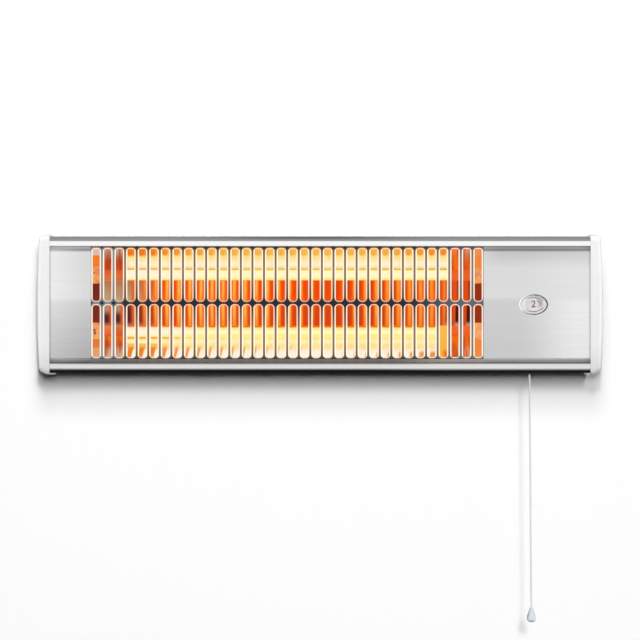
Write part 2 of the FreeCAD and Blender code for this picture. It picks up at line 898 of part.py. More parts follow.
def feed_lead():
    """Wire from the thermal cut-out to the side of the switch."""
    height = grille_middle - wire_spacing
    third = (switch_left - cutout_face) / 3
    stops = [
        point(cutout_face, cutout_depth, height),
        point(cutout_face + third, cutout_depth, height),
        point(switch_left - third, cutout_depth, switch_top - feed_drop),
        point(switch_left, cutout_depth, switch_top - feed_drop),
    ]
    return bent_tube("feed lead", stops, wire_diameter)


def live_lead():
    """Wire from the first pole of the terminal block to the thermal cut-out."""
    height = grille_middle + wire_spacing
    x = block_left + pole_pitch / 2
    stops = [
        point(cutout_face, cutout_depth, height),
        point(x - wire_spacing, cutout_depth, height),
        point(x, panel_front - block_depth / 2, live_rise),
        point(x, panel_front - block_depth / 2, block_bottom),
    ]
    return bent_tube("live lead", stops, wire_diameter)


def neutral_lead():
    """Wire from the link strip, behind the reflector, to the second pole of the block."""
    far = link_face - link_wall - wire_loop
    x = block_left + 1.5 * pole_pitch
    stops = [
        point(link_face - link_wall, tube_axis_depth, grille_middle),
        point(far, tube_axis_depth, grille_middle),
        point(far, wire_depth, grille_middle),
        point(x, wire_depth, grille_middle),
        point(x, wire_depth, block_bottom),
    ]
    return bent_tube("neutral lead", stops, wire_diameter)


def cord_bell():
    """Teardrop pull at the end of the cord."""
    end = point(cord_x, cord_depth, cord_exit - cord_joint_gap) + V(*cord_route[-1])
    radius = bell_diameter / 2
    bore = bell_bore / 2
    corners = [
        (bore, 0.0, 0.0),
        (bell_top_diameter / 2, 0.0, bell_lip),
        (radius, -bell_shoulder, bell_shoulder_round),
        (radius, -bell_height, bell_foot_round),
        (0.0, -bell_height, 0.0),
        (0.0, -bell_bore_depth, 0.0),
        (bore, -bell_bore_depth, 0.0),
    ]
    return turned(corners, end + V(0, 0, cord_entry), V(0, 0, 1))


def terminal_block():
    """Three-pole block on the rear panel, grooved between the poles."""
    block_front = panel_front - block_depth
    block_top = block_bottom + block_height
    outline = rectangle(block_left, block_left + block_width, block_bottom, block_top, block_corner)
    block = extrude_back(outline, block_front, block_depth)
    half = block_groove / 2
    cuts = []
    for index in range(1, pole_count):
        x = block_left + index * pole_pitch
        groove = rectangle(x - half, x + half, block_bottom - half, block_top + half)
        cuts.append(extrude_back(groove, block_front, block_groove_depth))
    hole = pole_screw_diameter / 2 + screw_clearance
    for place in pole_screw_places():
        cuts.append(rod(hole, pole_screw_depth, place, V(0, 1, 0)))
    return block.cut(cuts)


def pole_screw_places():
    """Mouths of the clamp screw holes in the terminal block."""
    places = []
    for index in range(pole_count):
        x = block_left + (index + 0.5) * pole_pitch
        for side in (-1, 1):
            z = block_lift + side * block_height / 4
            places.append(point(x, panel_front - block_depth, z))
    return places


def terminal_screws():
    """Group of clamp screws on the floors of their holes."""
    radius = pole_screw_diameter / 2
    lift = V(0, pole_screw_depth - pole_screw_height, 0)
    screws = []
    for place in pole_screw_places():
        screws.append(rod(radius, pole_screw_height, place + lift, V(0, 1, 0)))
    return screws


def cable_gland():
    """Cable entry in the rear panel, with a flange outside and a neck through the sheet."""
    bore = gland_bore / 2
    neck = gland_neck_diameter / 2
    inner = -(panel_wall + gland_nut + gland_neck_tail)
    corners = [
        (bore, inner, 0.0),
        (neck, inner, small_round),
        (neck, 0.0, 0.0),
        (gland_flange_diameter / 2, 0.0, 0.0),
        (gland_flange_diameter / 2, gland_flange, small_round),
        (gland_dome_foot / 2, gland_flange, 0.0),
        (gland_dome_diameter / 2, gland_flange + gland_dome, gland_dome_round),
        (bore, gland_flange + gland_dome, 0.0),
    ]
    return turned(corners, point(visible_half - gland_inset, panel_back, gland_lift), V(0, 1, 0))


def gland_lock_nut():
    """Nut that clamps the gland from inside the panel."""
    bore = gland_neck_diameter / 2 + gland_fit
    base = point(visible_half - gland_inset, panel_front, gland_lift)
    radius = gland_flange_diameter / 2
    corners = []
    for index in range(gland_nut_sides + 1):
        angle = 2 * math.pi * index / gland_nut_sides
        corners.append(base + V(radius * math.cos(angle), 0, radius * math.sin(angle)))
    nut = Part.Face(Part.makePolygon(corners)).extrude(V(0, -gland_nut, 0))
    return nut.cut(rod(bore, gland_nut, base, V(0, -1, 0)))


def wall_bracket():
    """Strip on the wall with two ears folded forward to the pivots."""
    half = bracket_width / 2
    rear = -front_y
    tip = pivot_y - front_y - ear_radius
    low = bracket_height / 2
    corners = [
        (-half, tip, 0.0),
        (-half + bracket_wall, tip, 0.0),
        (-half + bracket_wall, rear - bracket_wall, bracket_bend - bracket_wall),
        (half - bracket_wall, rear - bracket_wall, bracket_bend - bracket_wall),
        (half - bracket_wall, tip, 0.0),
        (half, tip, 0.0),
        (half, rear, bracket_bend),
        (-half, rear, bracket_bend),
    ]
    strip = extrude_up(corners, -low, low)
    ear_outline = [
        (tip, -ear_radius, ear_radius),
        (rear - bracket_bend, -low, bracket_bend),
        (rear, -low, 0.0),
        (rear, low, 0.0),
        (rear - bracket_bend, low, bracket_bend),
        (tip, ear_radius, ear_radius),
    ]
    strip = strip.common(extrude_x(ear_outline, -half, half))
    pivot_hole = pivot_diameter / 2 + pivot_fit
    cuts = [rod(pivot_hole, bracket_width, V(-half, pivot_y, 0), V(1, 0, 0))]
    wall_hole = wall_hole_diameter / 2
    for x in (-screw_spacing / 2, screw_spacing / 2):
        cuts.append(rod(wall_hole, 3 * bracket_wall, V(x, bracket_wall, 0), V(0, -1, 0)))
    return strip.cut(cuts)


def pivot_lug():
    """Right lug: a base on the rear panel and a web that carries the pivot screw."""
    base_half = lug_base_height / 2
    base = extrude_back(
        rectangle(lug_outer - lug_base_width, lug_outer, -base_half, base_half),
        panel_back, lug_wall)
    pivot_depth = pivot_y - front_y
    web = extrude_x(
        [
            (panel_back, -base_half, 0.0),
            (panel_back + lug_wall, -base_half, 0.0),
            (pivot_depth + lug_radius, -lug_radius, lug_radius),
            (pivot_depth + lug_radius, lug_radius, lug_radius),
            (panel_back + lug_wall, base_half, 0.0),
            (panel_back, base_half, 0.0),
        ],
        lug_inner, lug_outer)
    start = V(lug_inner - lug_wall, pivot_y, 0)
    hole = rod(pivot_diameter / 2 + pivot_fit, 3 * lug_wall, start, V(1, 0, 0))
    return base.fuse(web).removeSplitter().cut(hole)


def pivot_screw():
    """Right pivot screw, headed inside the lug and threaded into the knob."""
    shank = pivot_diameter / 2
    head = pivot_head_diameter / 2
    length = bracket_width / 2 + pivot_thread - lug_inner
    corners = [
        (0.0, -pivot_head, 0.0),
        (head, -pivot_head, pivot_head_round),
        (head, 0.0, 0.0),
        (shank, 0.0, 0.0),
        (shank, length, small_round),
        (0.0, length, 0.0),
    ]
    return turned(corners, V(lug_inner, pivot_y, 0), V(1, 0, 0))


def pivot_washer():
    """Right friction washer between the lug and the ear."""
    corners = rectangle(pivot_diameter / 2 + pivot_fit, washer_diameter / 2, 0.0, washer_thickness)
    return turned(corners, V(lug_outer, pivot_y, 0), V(1, 0, 0))


def tilt_knob():
    """Right clamping knob with finger scallops."""
    radius = knob_diameter / 2
    bore = pivot_diameter / 2 + pivot_fit
    bore_end = pivot_thread + knob_bore_spare
    corners = [
        (bore, 0.0, 0.0),
        (knob_base_diameter / 2, 0.0, 0.0),
        (radius, knob_flare, knob_round),
        (radius, knob_length, knob_round),
        (0.0, knob_length, 0.0),
        (0.0, bore_end, 0.0),
        (bore, bore_end, 0.0),
    ]
    base = V(bracket_width / 2, pivot_y, 0)
    knob = turned(corners, base, V(1, 0, 0))
    cuts = []
    for index in range(knob_scallops):
        angle = 2 * math.pi * index / knob_scallops
        reach = radius + knob_scallop_offset
        start = base + V(-knob_flare, reach * math.cos(angle), reach * math.sin(angle))
        cuts.append(rod(knob_scallop_radius, knob_length + 2 * knob_flare, start, V(1, 0, 0)))
    return knob.cut(cuts)


right_cap = end_cap()
right_lug = pivot_lug()
right_pivot = pivot_screw()
right_washer = pivot_washer()
right_knob = tilt_knob()

nodes = {
    "front_cover": front_cover(),
    "rear_panel": rear_panel(),
    "rear_panel_screws": panel_screws(),
    "end_cap_right": right_cap,
    "end_cap_left": mirrored(right_cap),
    "end_cap_screws": cap_screws(),
    "tube_bracket_left": end_plate(plate_left, -1),
    "tube_bracket_right": end_plate(plate_right, 1),
    "reflector": reflector(),
    "neutral_link": neutral_link(),
    "thermal_cutout": thermal_cutout(),
    "indicator_lens": indicator_lens(),
    "indicator_dial": indicator_dial(),
    "pull_switch": pull_switch(),
    "switch_bracket": switch_bracket(),
    "pull_plunger": pull_plunger(),
    "cord_grommet": cord_grommet(),
    "cord_head": cord_head(),
    "pull_cord": pull_cord(),
    "cord_bell": cord_bell(),
    "lead_upper": upper_lead(),
    "lead_lower": lower_lead(),
    "lead_feed": feed_lead(),
    "lead_live": live_lead(),
    "lead_neutral": neutral_lead(),
    "terminal_block": terminal_block(),
    "terminal_screws": terminal_screws(),
    "cable_gland": cable_gland(),
    "gland_lock_nut": gland_lock_nut(),
    "wall_bracket": wall_bracket(),
    "pivot_lug_right": right_lug,
    "pivot_lug_left": mirrored(right_lug),
    "pivot_screws": [right_pivot, mirrored(right_pivot)],
    "pivot_washers": [right_washer, mirrored(right_washer)],
    "tilt_knob_right": right_knob,
    "tilt_knob_left": mirrored(right_knob),
}
for row, height in row_heights.items():
    nodes["quartz_tube_" + row] = quartz_tube(height)
    nodes["heating_coil_" + row] = heating_coil(height)
    nodes["ceramic_end_" + row + "_left"] = ceramic_end(plate_left, -1, height)
    nodes["ceramic_end_" + row + "_right"] = ceramic_end(plate_right, 1, height)

os.makedirs("parts", exist_ok=True)
for name, solid in nodes.items():
    if isinstance(solid, list):
        solid = Part.makeCompound(solid)
    solid.exportStep("parts/" + name + ".step")
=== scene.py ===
import bpy
import math
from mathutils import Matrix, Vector

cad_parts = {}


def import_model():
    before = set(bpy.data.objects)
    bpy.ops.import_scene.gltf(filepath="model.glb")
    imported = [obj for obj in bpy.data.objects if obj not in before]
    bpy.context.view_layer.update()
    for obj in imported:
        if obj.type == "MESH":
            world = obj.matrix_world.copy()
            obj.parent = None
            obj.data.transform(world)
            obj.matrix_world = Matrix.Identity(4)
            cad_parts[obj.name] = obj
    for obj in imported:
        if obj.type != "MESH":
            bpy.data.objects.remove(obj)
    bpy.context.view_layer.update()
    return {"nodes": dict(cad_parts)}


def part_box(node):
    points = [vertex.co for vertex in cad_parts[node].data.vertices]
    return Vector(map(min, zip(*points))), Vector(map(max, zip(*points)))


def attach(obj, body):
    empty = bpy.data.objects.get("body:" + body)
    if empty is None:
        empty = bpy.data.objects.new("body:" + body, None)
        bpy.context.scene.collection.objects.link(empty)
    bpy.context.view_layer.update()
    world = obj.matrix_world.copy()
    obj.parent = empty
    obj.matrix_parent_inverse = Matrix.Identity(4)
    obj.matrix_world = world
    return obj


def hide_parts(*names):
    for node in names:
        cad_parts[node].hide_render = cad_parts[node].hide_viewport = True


# Looks of a wall-hung quartz infrared heater, switched on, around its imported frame.
# Metres. X runs to the right, Y into the wall and Z up, and the wall is the plane Y = 0.
# A step is (start, end) of a shade that comes in, and a band is (low, high, soft edge).

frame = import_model()
nodes = frame["nodes"]

# Camera, level and square to the wall
image_span = 0.640
camera_distance = 5.0
camera_height = -0.0155
camera_reach = 100.0
sensor_width = 36.0

# Stage
wall_gap = 0.0005
wall_tone = 0.97
wall_bounce = 0.15
stage_half = 4.0
floor_height = -0.75

# Lamps, each as (azimuth, elevation, level, (width, height)), and the plain fill light
lamp_distance = 5.0
fill_level = 0.02
lamps = {
    "low_lamp": (0.2, 2.75, 0.275, (0.10, 0.288)),
    "key_lamp": (5.7, 6.8, 0.27, (0.28, 0.35)),
    "high_lamp": (0.2, 10.0, 0.195, (0.10, 0.35)),
    "soft_lamp": (0.2, 17.2, 0.30, (0.80, 1.36)),
    "left_lamp": (-89.7, 4.0, 0.45, (0.30, 0.30)),
    "right_lamp": (89.7, 4.0, 0.45, (0.30, 0.30)),
    "top_lamp": (0.0, 89.7, 0.45, (0.30, 0.30)),
    "under_lamp": (0.0, -89.7, 0.15, (0.30, 0.30)),
    "rear_lamp": (180.0, 20.0, 0.65, (3.0, 3.0)),
}

# Lamps that cast no shadow of the cord and its bell, or of the end caps
cord_sparing_lamps = ("low_lamp", "high_lamp", "soft_lamp")
cap_sparing_lamps = ("key_lamp",)

# Brightness that metal and glass mirror, by the sine of the elevation
mirror_sky = [
    (-1.0, 0.60), (-0.55, 0.62), (-0.42, 0.80), (-0.33, 1.0),
    (0.05, 1.0), (0.14, 0.55), (0.30, 0.36), (1.0, 0.28),
]

# Cover, with its rails in heights from its middle
cover_low, cover_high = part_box("front_cover")
rail_front = cover_low.y
edge_radius = 0.005
rail_height = 0.005
rail_outer = cover_high.z - edge_radius
rail_inner = rail_outer - rail_height

# Rows of slots, centred on the tubes
tube_low, tube_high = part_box("quartz_tube_upper")
tube_radius = (tube_high.z - tube_low.z) / 2
upper_row = tube_low.z + tube_radius
lower_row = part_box("quartz_tube_lower")[0].z + tube_radius
grille_middle = (upper_row + lower_row) / 2
row_offset = (upper_row - lower_row) / 2
slot_columns = 34
tube_overlap = 0.008
first_slot = tube_low.x + tube_overlap
last_slot = tube_high.x - tube_overlap
slot_pitch = (last_slot - first_slot) / (slot_columns - 1)
slot_width = 0.0099
slot_gap = 0.0015
slot_length = 2 * row_offset - slot_gap
slot_outer_corner = 0.0036
slot_inner_corner = 0.0044
grille_top = 0.0581
grille_bottom = -0.0545
grille_width_band = (first_slot - slot_width / 2, last_slot + slot_width / 2, 0.0008)
grille_height_band = (grille_bottom, grille_top, 0.0004)
grille_depth_step = (rail_front + 0.018, rail_front + 0.012)

# Painted reflection on the cover's face: its grey, as (more at the left end, more at the right end, level),
# and its steps, with a painted shade at its upper right
upper_face = (0.16, 0.07, 0.81)
lower_face = (0.14, 0.24, 0.71)
face_left_step = (-0.270, -0.236)
face_right_step = (0.195, 0.262)
face_middle_step = (0.0010, 0.0085)
face_foot_step = (0.004, -0.050)
face_loss_step = (-0.268, 0.166)
face_top_step = (0.034, 0.054)
face_corner_step = (0.150, 0.185)

# Coves, rails and edges of the cover, with the painted reflections and shades on them: a brighter lower cove,
# a dark band under the upper rail, a greyer lower rail with a darker lip, shade below the grille, a darker
# middle to the upper edge and a dark lower edge
half_step = (-0.001, 0.001)
lip_step = (-rail_inner - 0.0020, -rail_inner - 0.0008)
rail_step = (rail_inner - 0.0006, rail_inner)
polish_step = (rail_inner + 0.0008, rail_inner + 0.0014)
cove_band = (-rail_inner, -rail_inner + 0.0035, 0.0010)
rough_cove_band = (-rail_inner - 0.0010, -rail_inner + 0.0045, 0.0004)
cove_shade_band = (-rail_inner + 0.0004, grille_bottom + 0.0005, 0.0006)
rail_shade_band = (-rail_inner - 0.0020, -rail_inner - 0.0002, 0.0006)
below_grille_band = (-0.212, 0.070, 0.060)
hollow_band = (rail_inner - 0.0044, rail_inner - 0.0028, 0.0012)
hollow_step = (-0.270, -0.230)
crest_step = (rail_outer + 0.0006, rail_outer + 0.0038)
crest_centre = -0.010
crest_reach_step = (0.140, 0.010)
under_step = (-rail_outer + 0.0003, -rail_outer - 0.0027)
under_depth_step = (rail_front + 0.0085, rail_front + 0.0055)
under_drop_step = (0.040, 0.120)
under_drop = 0.0004

# Painted reflection of the glow on the bars of the grille, by their place along a slot, and the painted light
# of the tubes on the slots' rims
bar_reflection_tones = [
    (-0.0280, "343338"), (-0.0250, "38343a"), (-0.0200, "624e48"), (-0.0080, "84695c"), (0.0, "98786c"),
    (0.0100, "947868"), (0.0190, "8e6e5a"), (0.0240, "6c5a52"), (0.0280, "564c4c"),
]
cool_left_step = (-0.190, -0.212)
cool_right_step = (0.085, 0.150)
right_side_step = (-0.05, 0.05)
near_slot_step = (0.0017, 0.0009)
rim_step = (0.0, -0.0004)
red_rim_step = (-0.0035, -0.0070)
outer_rim_step = (0.0240, 0.0264)
inner_rim_step = (-0.0240, -0.0268)

# End caps: painted shade, a little greyer downwards and darker at the foot
cap_step = (0.050, -0.045)
cap_foot_step = (-0.036, -0.070)

# Hot stretch of the tubes, the amber slot beside it, and the part right of the middle
glow_left = -0.1955
glow_right_upper = 0.1290
glow_right_lower = 0.1170
glow_edge = 0.002
amber_slot_band = (0.0, 0.1310, 0.001)
right_part_step = (0.05, 0.10)

# Tubes: their own glow, with tones by height in tube radii from the middle of each row; their red edges and
# the orange of their cold ends are painted light from the trough
hot_lower_tones = [
    (-1.0, "ffe97c"), (-0.80, "ffea80"), (-0.25, "fffac8"),
    (0.40, "ffee90"), (0.62, "ffd058"), (0.72, "e86a10"),
]
hot_upper_tones = [
    (-1.0, "f04a08"), (-0.92, "ffc850"), (-0.75, "ffec8c"), (-0.20, "fff6c8"),
    (0.80, "fff6bc"), (0.92, "e6c060"), (1.0, "d8a840"),
]
cold_lower_tones = [(-1.0, "d8501c"), (1.0, "e87c34")]
cold_upper_tones = [(-1.0, "dc7438"), (1.0, "d8481a")]
pale_tube_step = (-0.105, -0.165)
pale_lower_band = (-0.035, -0.0235, 0.002)
pale_upper_step = (0.025, 0.027)

# Trough behind the tubes, with the tubes' light and the mirrored grille painted into its glow: how much
# smaller it shows behind the slots, and its tones by height
trough_sight = 0.9915
trough_hot_tones = [
    (-0.0560, "fff4e8"), (-0.0470, "fff3e2"), (-0.0435, "ffe39a"), (-0.0400, "ffe898"), (-0.0375, "fff6c4"),
    (-0.0350, "ffee9a"), (-0.0300, "ffea80"), (0.0300, "e0ac3c"), (0.0355, "e6b648"), (0.0372, "fbe09a"),
    (0.0395, "fff4d2"), (0.0425, "fff2d0"), (0.0450, "ffeba0"), (0.0480, "ffe494"), (0.0510, "fcc468"),
    (0.0600, "f8c070"),
]
trough_cold_tones = [
    (-0.0560, "dcbc9c"), (-0.0460, "d4a484"), (-0.0405, "dc5c24"), (-0.0320, "f07c20"),
    (0.0350, "d84c1a"), (0.0440, "cc4a1e"), (0.0490, "bc8468"), (0.0600, "d4c8b4"),
]
trough_end_tones = [
    (-0.0560, "e0a878"), (-0.0440, "e0a070"), (-0.0425, "e27c3a"), (-0.0230, "e27c3a"), (-0.0215, "7c2c24"),
    (0.0235, "6e2618"), (0.0250, "f08028"), (0.0490, "f08028"), (0.0505, "d8c4b8"), (0.0600, "d8c8c0"),
]
trough_left_step = (-0.2170, -0.2190)
trough_right_step = (0.1515, 0.1535)
red_band = (-0.0220, 0.0245, 0.0008)
half_blur = 0.004
away_centre = -0.02
away_step = (0.05, 0.17)

# Marks in the hot light: glints at the slots' upper ends, then crowns, bands, dashes and lines
glint_centre = (-0.0006, 0.0535)
glint_half = (0.0036, 0.0046)
glint_step = (1.1, 0.35)
crown_height_step = (0.0470, 0.0510)
crown_step = (-0.150, -0.178)
amber_band = (-0.0440, -0.0400, 0.0016)
amber_step = (-0.145, -0.170)
dash_band = (-0.0342, -0.0325, 0.0010)
dash_step = (-0.120, -0.165)
line_band = (0.0340, 0.0362, 0.0006)

# Slanted feet of light at the slots' lower ends
foot_first = -0.1443
foot_pitch = 0.01123
foot_slant = 0.22
foot_pivot = -0.049
foot_width = 0.0028
foot_edge = 0.0018
foot_spread = 0.0036
foot_spread_shift = 0.0020
foot_left_step = (-0.130, -0.165)
foot_right_step = (0.085, 0.105)
foot_drop_step = (0.0, 0.05)
foot_drop = 0.0045
foot_height_step = (-0.0405, -0.0450)

# Cold light of the trough at the right
orange_step = (0.1395, 0.1415)
corner_step = (0.1205, 0.1260)
corner_height_step = (-0.0420, -0.0500)

# Red stretch of painted glow between the tubes: streaks with a bright core, which bend at both ends
streak_first = -0.1080
streak_pitch = 0.01108
streak_width = 0.0040
streak_edge = 0.0040
faint_streak_step = (0.128, 0.140)
left_bend_step = (-0.135, -0.165)
left_bend = 0.0009
right_bend_step = (-0.015, 0.065)
right_bend_stop = (0.1166, 0.1156)
right_bend = 0.0018
core_width = 0.0018
core_edge = 0.0034
core_upper_step = (0.004, 0.014)
core_lower_step = (-0.018, -0.006)
core_right_step = (0.030, 0.080)

# Red stretch: painted glow with dull ends, painted dark sides and smears
dull_left_step = (-0.150, -0.195)
dull_right_step = (0.117, 0.134)
tan_step = (0.004, 0.022)
tan_end_step = (-0.1935, -0.1965)
maroon_step = (-0.0165, -0.0215)
pale_height_step = (-0.0120, -0.0040)
pale_step = (-0.192, -0.197)
dark_side_shift = 0.0016
dark_side_step = (0.0004, 0.0020)
beside_bar_step = (-0.0006, -0.0026)
beside_bar_band = (0.03, 0.10, 0.05)
smear_step = (-0.0160, -0.0215)

# Dark spots on the ceramic tube ends, as (x, z, size)
ceramic_spots = [(-0.2266, 0.0320, 0.0012), (-0.2264, -0.0258, 0.0018), (-0.2258, -0.0286, 0.0018)]

# Turns of the heating coils, as radians in a metre
coil_turns = 6000.0

# Lens, with a painted dark edge, white highlight and glint, and painted shading at its ridge and inner ring,
# in shares of its half width and half height
lens_edge_tones = [
    (-1.0, "fbfbfb"), (-0.72, "f4f4f4"), (-0.55, "c4c4c4"),
    (-0.20, "848484"), (0.25, "4c4c4c"), (1.0, "1e1e1e"),
]
lens_edge_lean = 0.25
lens_rim_step = (0.890, 0.935)
lens_rose_step = (0.50, 0.15)
lens_ridge_band = (0.67, 0.73, 0.05)
lens_ridge_step = (-0.65, -0.15)
lens_ridge_end_step = (0.15, 0.45)
lens_ridge_wave = 0.03
lens_hollow_band = (0.42, 0.58, 0.10)
lens_hollow_step = (0.05, 0.45)
lens_hollow_height_step = (-0.45, 0.10)
lens_glint_band = (0.66, 0.74, 0.05)
lens_glint_step = (-0.45, -0.65)

# Painted shade down the left side of the bell and round its foot, from its left side, its foot or its top
bell_taper_start = 0.0050
bell_taper_end = -0.0020
bell_taper = 0.0026
bell_side_step = (0.0024, 0.0002)
bell_top_step = (-0.0010, -0.0090)
bell_foot_step = (0.0022, 0.0004)

# Pull cord, with its route as in the part's source, and the pitch of the braids
cord_diameter = 0.0018
cord_route = [
    (0.0, 0.0, 0.0),
    (0.00035, 0.0, -0.0585),
    (0.0009, 0.0, -0.118),
    (0.00125, 0.0, -0.1785),
    (0.0018, 0.0, -0.2385),
]
cord_curve_order = 3
cord_curve_steps = 12
cord_round_steps = 4
cord_braid_pitch = 0.0009
sleeve_braid_pitch = 0.0012

# Numerals on the dial
numeral_size = 0.0094
numeral_radius = 0.0202
numeral_depth = 0.00012
numeral_boldness = 0.00012
numeral_lift = 0.00006
numerals = ["2", "1", "0"]

# Range in which most of a noise lies
noise_step = (0.3, 0.7)

black = (0.0, 0.0, 0.0, 1.0)
white = (1.0, 1.0, 1.0, 1.0)


def tone(code):
    """Linear colour of a written six-digit colour."""
    values = []
    for start in (0, 2, 4):
        level = int(code[start:start + 2], 16) / 255
        values.append(level / 12.92 if level <= 0.04045 else ((level + 0.055) / 1.055) ** 2.4)
    return (*values, 1.0)


class Graph:
    """Short calls for the nodes of one tree, which take sockets, numbers or colours and give sockets."""

    def __init__(self, tree):
        self.tree = tree

    def node(self, kind):
        """New node of a kind."""
        return self.tree.nodes.new("ShaderNode" + kind)

    def put(self, socket, value):
        """Link a socket, or set its value, where a text is a written colour."""
        if isinstance(value, bpy.types.NodeSocket):
            self.tree.links.new(value, socket)
        else:
            socket.default_value = tone(value) if isinstance(value, str) else value

    def split(self, vector):
        """X, Y and Z of a vector."""
        node = self.node("SeparateXYZ")
        self.put(node.inputs[0], vector)
        return node.outputs["X"], node.outputs["Y"], node.outputs["Z"]

    def coords(self):
        """X, Y and Z in the object's own frame."""
        return self.split(self.node("TexCoord").outputs["Object"])

    def math(self, operation, first, second=0.0):
        """One step of arithmetic."""
        node = self.node("Math")
        node.operation = operation
        self.put(node.inputs[0], first)
        self.put(node.inputs[1], second)
        return node.outputs[0]

    def minus(self, first, second):
        """One value less another."""
        return self.math("SUBTRACT", first, second)

    def rest(self, share):
        """What a share leaves of one."""
        return self.minus(1.0, share)

    def larger(self, first, second):
        """Larger one of two values."""
        return self.math("MAXIMUM", first, second)

    def size(self, value):
        """Value without its sign."""
        return self.math("ABSOLUTE", value)

    def square(self, value):
        """Value times itself."""
        return self.math("POWER", value, 2.0)

    def root(self, value):
        """Square root."""
        return self.math("SQRT", value)

    def product(self, *factors):
        """Several values multiplied."""
        result = factors[0]
        for factor in factors[1:]:
            result = self.math("MULTIPLY", result, factor)
        return result

    def total(self, *terms):
        """Several values added."""
        result = terms[0]
        for term in terms[1:]:
            result = self.math("ADD", result, term)
        return result

    def slope(self, value, start, end, low=0.0, high=1.0, interpolation="LINEAR"):
        """Straight ramp of a value from low at start to high at end, held outside."""
        node = self.node("MapRange")
        node.interpolation_type = interpolation
        for name, number in (("From Min", start), ("From Max", end), ("To Min", low), ("To Max", high)):
            self.put(node.inputs[name], number)
        self.put(node.inputs["Value"], value)
        return node.outputs["Result"]

    def fade(self, value, start, end, low=0.0, high=1.0):
        """Smooth step of a value from low at start to high at end."""
        return self.slope(value, start, end, low, high, "SMOOTHSTEP")

    def between(self, value, low, high, edge):
        """One inside a range, fading to zero over an edge outside it."""
        rise = self.fade(value, low - edge, low)
        fall = self.fade(value, high, high + edge, 1.0, 0.0)
        return self.product(rise, fall)

    def noise(self, stretch, detail=4.0, roughness=0.55):
        """Noise with a frequency for all directions, or one each along X, Y and Z."""
        scale = self.node("VectorMath")
        scale.operation = "MULTIPLY"
        self.put(scale.inputs[0], self.node("TexCoord").outputs["Object"])
        self.put(scale.inputs[1], stretch if isinstance(stretch, tuple) else (stretch, stretch, stretch))
        node = self.node("TexNoise")
        self.put(node.inputs["Vector"], scale.outputs[0])
        self.put(node.inputs["Scale"], 1.0)
        self.put(node.inputs["Detail"], detail)
        self.put(node.inputs["Roughness"], roughness)
        return node.outputs["Fac"]

    def vary(self, noise, low, high):
        """Noise spread from a low to a high value."""
        return self.slope(noise, *noise_step, low, high)

    def mix(self, factor, first, second, blend="MIX"):
        """Colour between two colours."""
        node = self.node("Mix")
        node.data_type = "RGBA"
        node.blend_type = blend
        self.put(node.inputs["Factor"], factor)
        self.put(node.inputs[6], first)
        self.put(node.inputs[7], second)
        return node.outputs[2]

    def grey(self, value):
        """Grey colour of a level."""
        node = self.node("CombineColor")
        for channel in node.inputs:
            self.put(channel, value)
        return node.outputs[0]

    def ramp(self, value, stops):
        """Colour ramp over (place, colour) stops, with places in the value's own unit."""
        low = stops[0][0]
        high = stops[-1][0]
        node = self.node("ValToRGB")
        elements = node.color_ramp.elements
        while len(elements) < len(stops):
            elements.new(0.5)
        for element, (place, colour) in zip(elements, stops):
            element.position = (place - low) / (high - low)
            element.color = tone(colour) if isinstance(colour, str) else colour
        self.put(node.inputs["Fac"], self.slope(value, low, high))
        return node.outputs["Color"]

    def bump(self, height, strength, distance):
        """Relief from a height."""
        node = self.node("Bump")
        self.put(node.inputs["Strength"], strength)
        self.put(node.inputs["Distance"], distance)
        self.put(node.inputs["Height"], height)
        return node.outputs["Normal"]


class Surface(Graph):
    """Material around a Principled shader."""

    def __init__(self, name):
        self.material = bpy.data.materials.new(name)
        self.material.use_nodes = True
        super().__init__(self.material.node_tree)
        self.shader = self.tree.nodes["Principled BSDF"]
        self.output = self.tree.nodes["Material Output"]

    def set(self, **values):
        """Inputs of the shader, named with underscores."""
        for name, value in values.items():
            self.put(self.shader.inputs[name.replace("_", " ")], value)


def aside(graph, place, origin, pitch):
    """Signed distance along X from the nearest of evenly spaced lines."""
    phase = graph.math("FLOORED_MODULO", graph.minus(place, origin - pitch / 2), pitch)
    return graph.minus(phase, pitch / 2)


def stripe(graph, offset, width, edge):
    """Soft stripe of a width about the line that an offset is measured from."""
    return graph.fade(graph.size(offset), (width + edge) / 2, (width - edge) / 2)


def spot(graph, places, centre, half):
    """Squared distance from the centre of an oval, which is one at its edge."""
    squares = []
    for place, middle, reach in zip(places, centre, half):
        squares.append(graph.square(graph.product(graph.minus(place, middle), 1 / reach)))
    return graph.total(*squares)


def slot_place(graph, x, z):
    """Place within the nearest slot: across it, and along it with plus towards its outer end."""
    from_middle = graph.size(graph.minus(z, grille_middle))
    return aside(graph, x, first_slot, slot_pitch), graph.minus(from_middle, row_offset)


def slot_distance(graph, across, along):
    """Distance from the slot's outline, negative inside it, with its two corner sizes."""
    outward = graph.math("GREATER_THAN", along, 0.0)
    radius = graph.slope(outward, 0.0, 1.0, slot_inner_corner, slot_outer_corner)
    side = graph.total(graph.size(across), radius, -slot_width / 2)
    end = graph.total(graph.size(along), radius, -slot_length / 2)
    corner = graph.total(graph.square(graph.larger(side, 0.0)), graph.square(graph.larger(end, 0.0)))
    inside = graph.math("MINIMUM", graph.larger(side, end), 0.0)
    return graph.minus(graph.total(graph.root(corner), inside), radius)


def face_reflection_grey(graph, x, z):
    """Painted reflection on the recessed face: a grey brighter at both ends and falling off below its middle,
    with a painted shade at its upper right.
    """
    left_end = graph.slope(x, *face_left_step, 1.0, 0.0)
    right_end = graph.fade(x, *face_right_step)
    greys = []
    for more_left, more_right, level in (upper_face, lower_face):
        lit_ends = graph.total(graph.product(left_end, more_left), graph.product(right_end, more_right))
        greys.append(graph.total(lit_ends, level))
    upper, lower = greys
    loss = graph.slope(x, *face_loss_step, 0.235, 0.05)
    lower = graph.minus(lower, graph.product(graph.slope(z, *face_foot_step), loss))
    face = graph.mix(graph.fade(z, *face_middle_step), graph.grey(lower), graph.grey(upper))
    shade = graph.product(graph.fade(z, *face_top_step), graph.fade(x, *face_corner_step), 0.20)
    return graph.mix(shade, face, black)


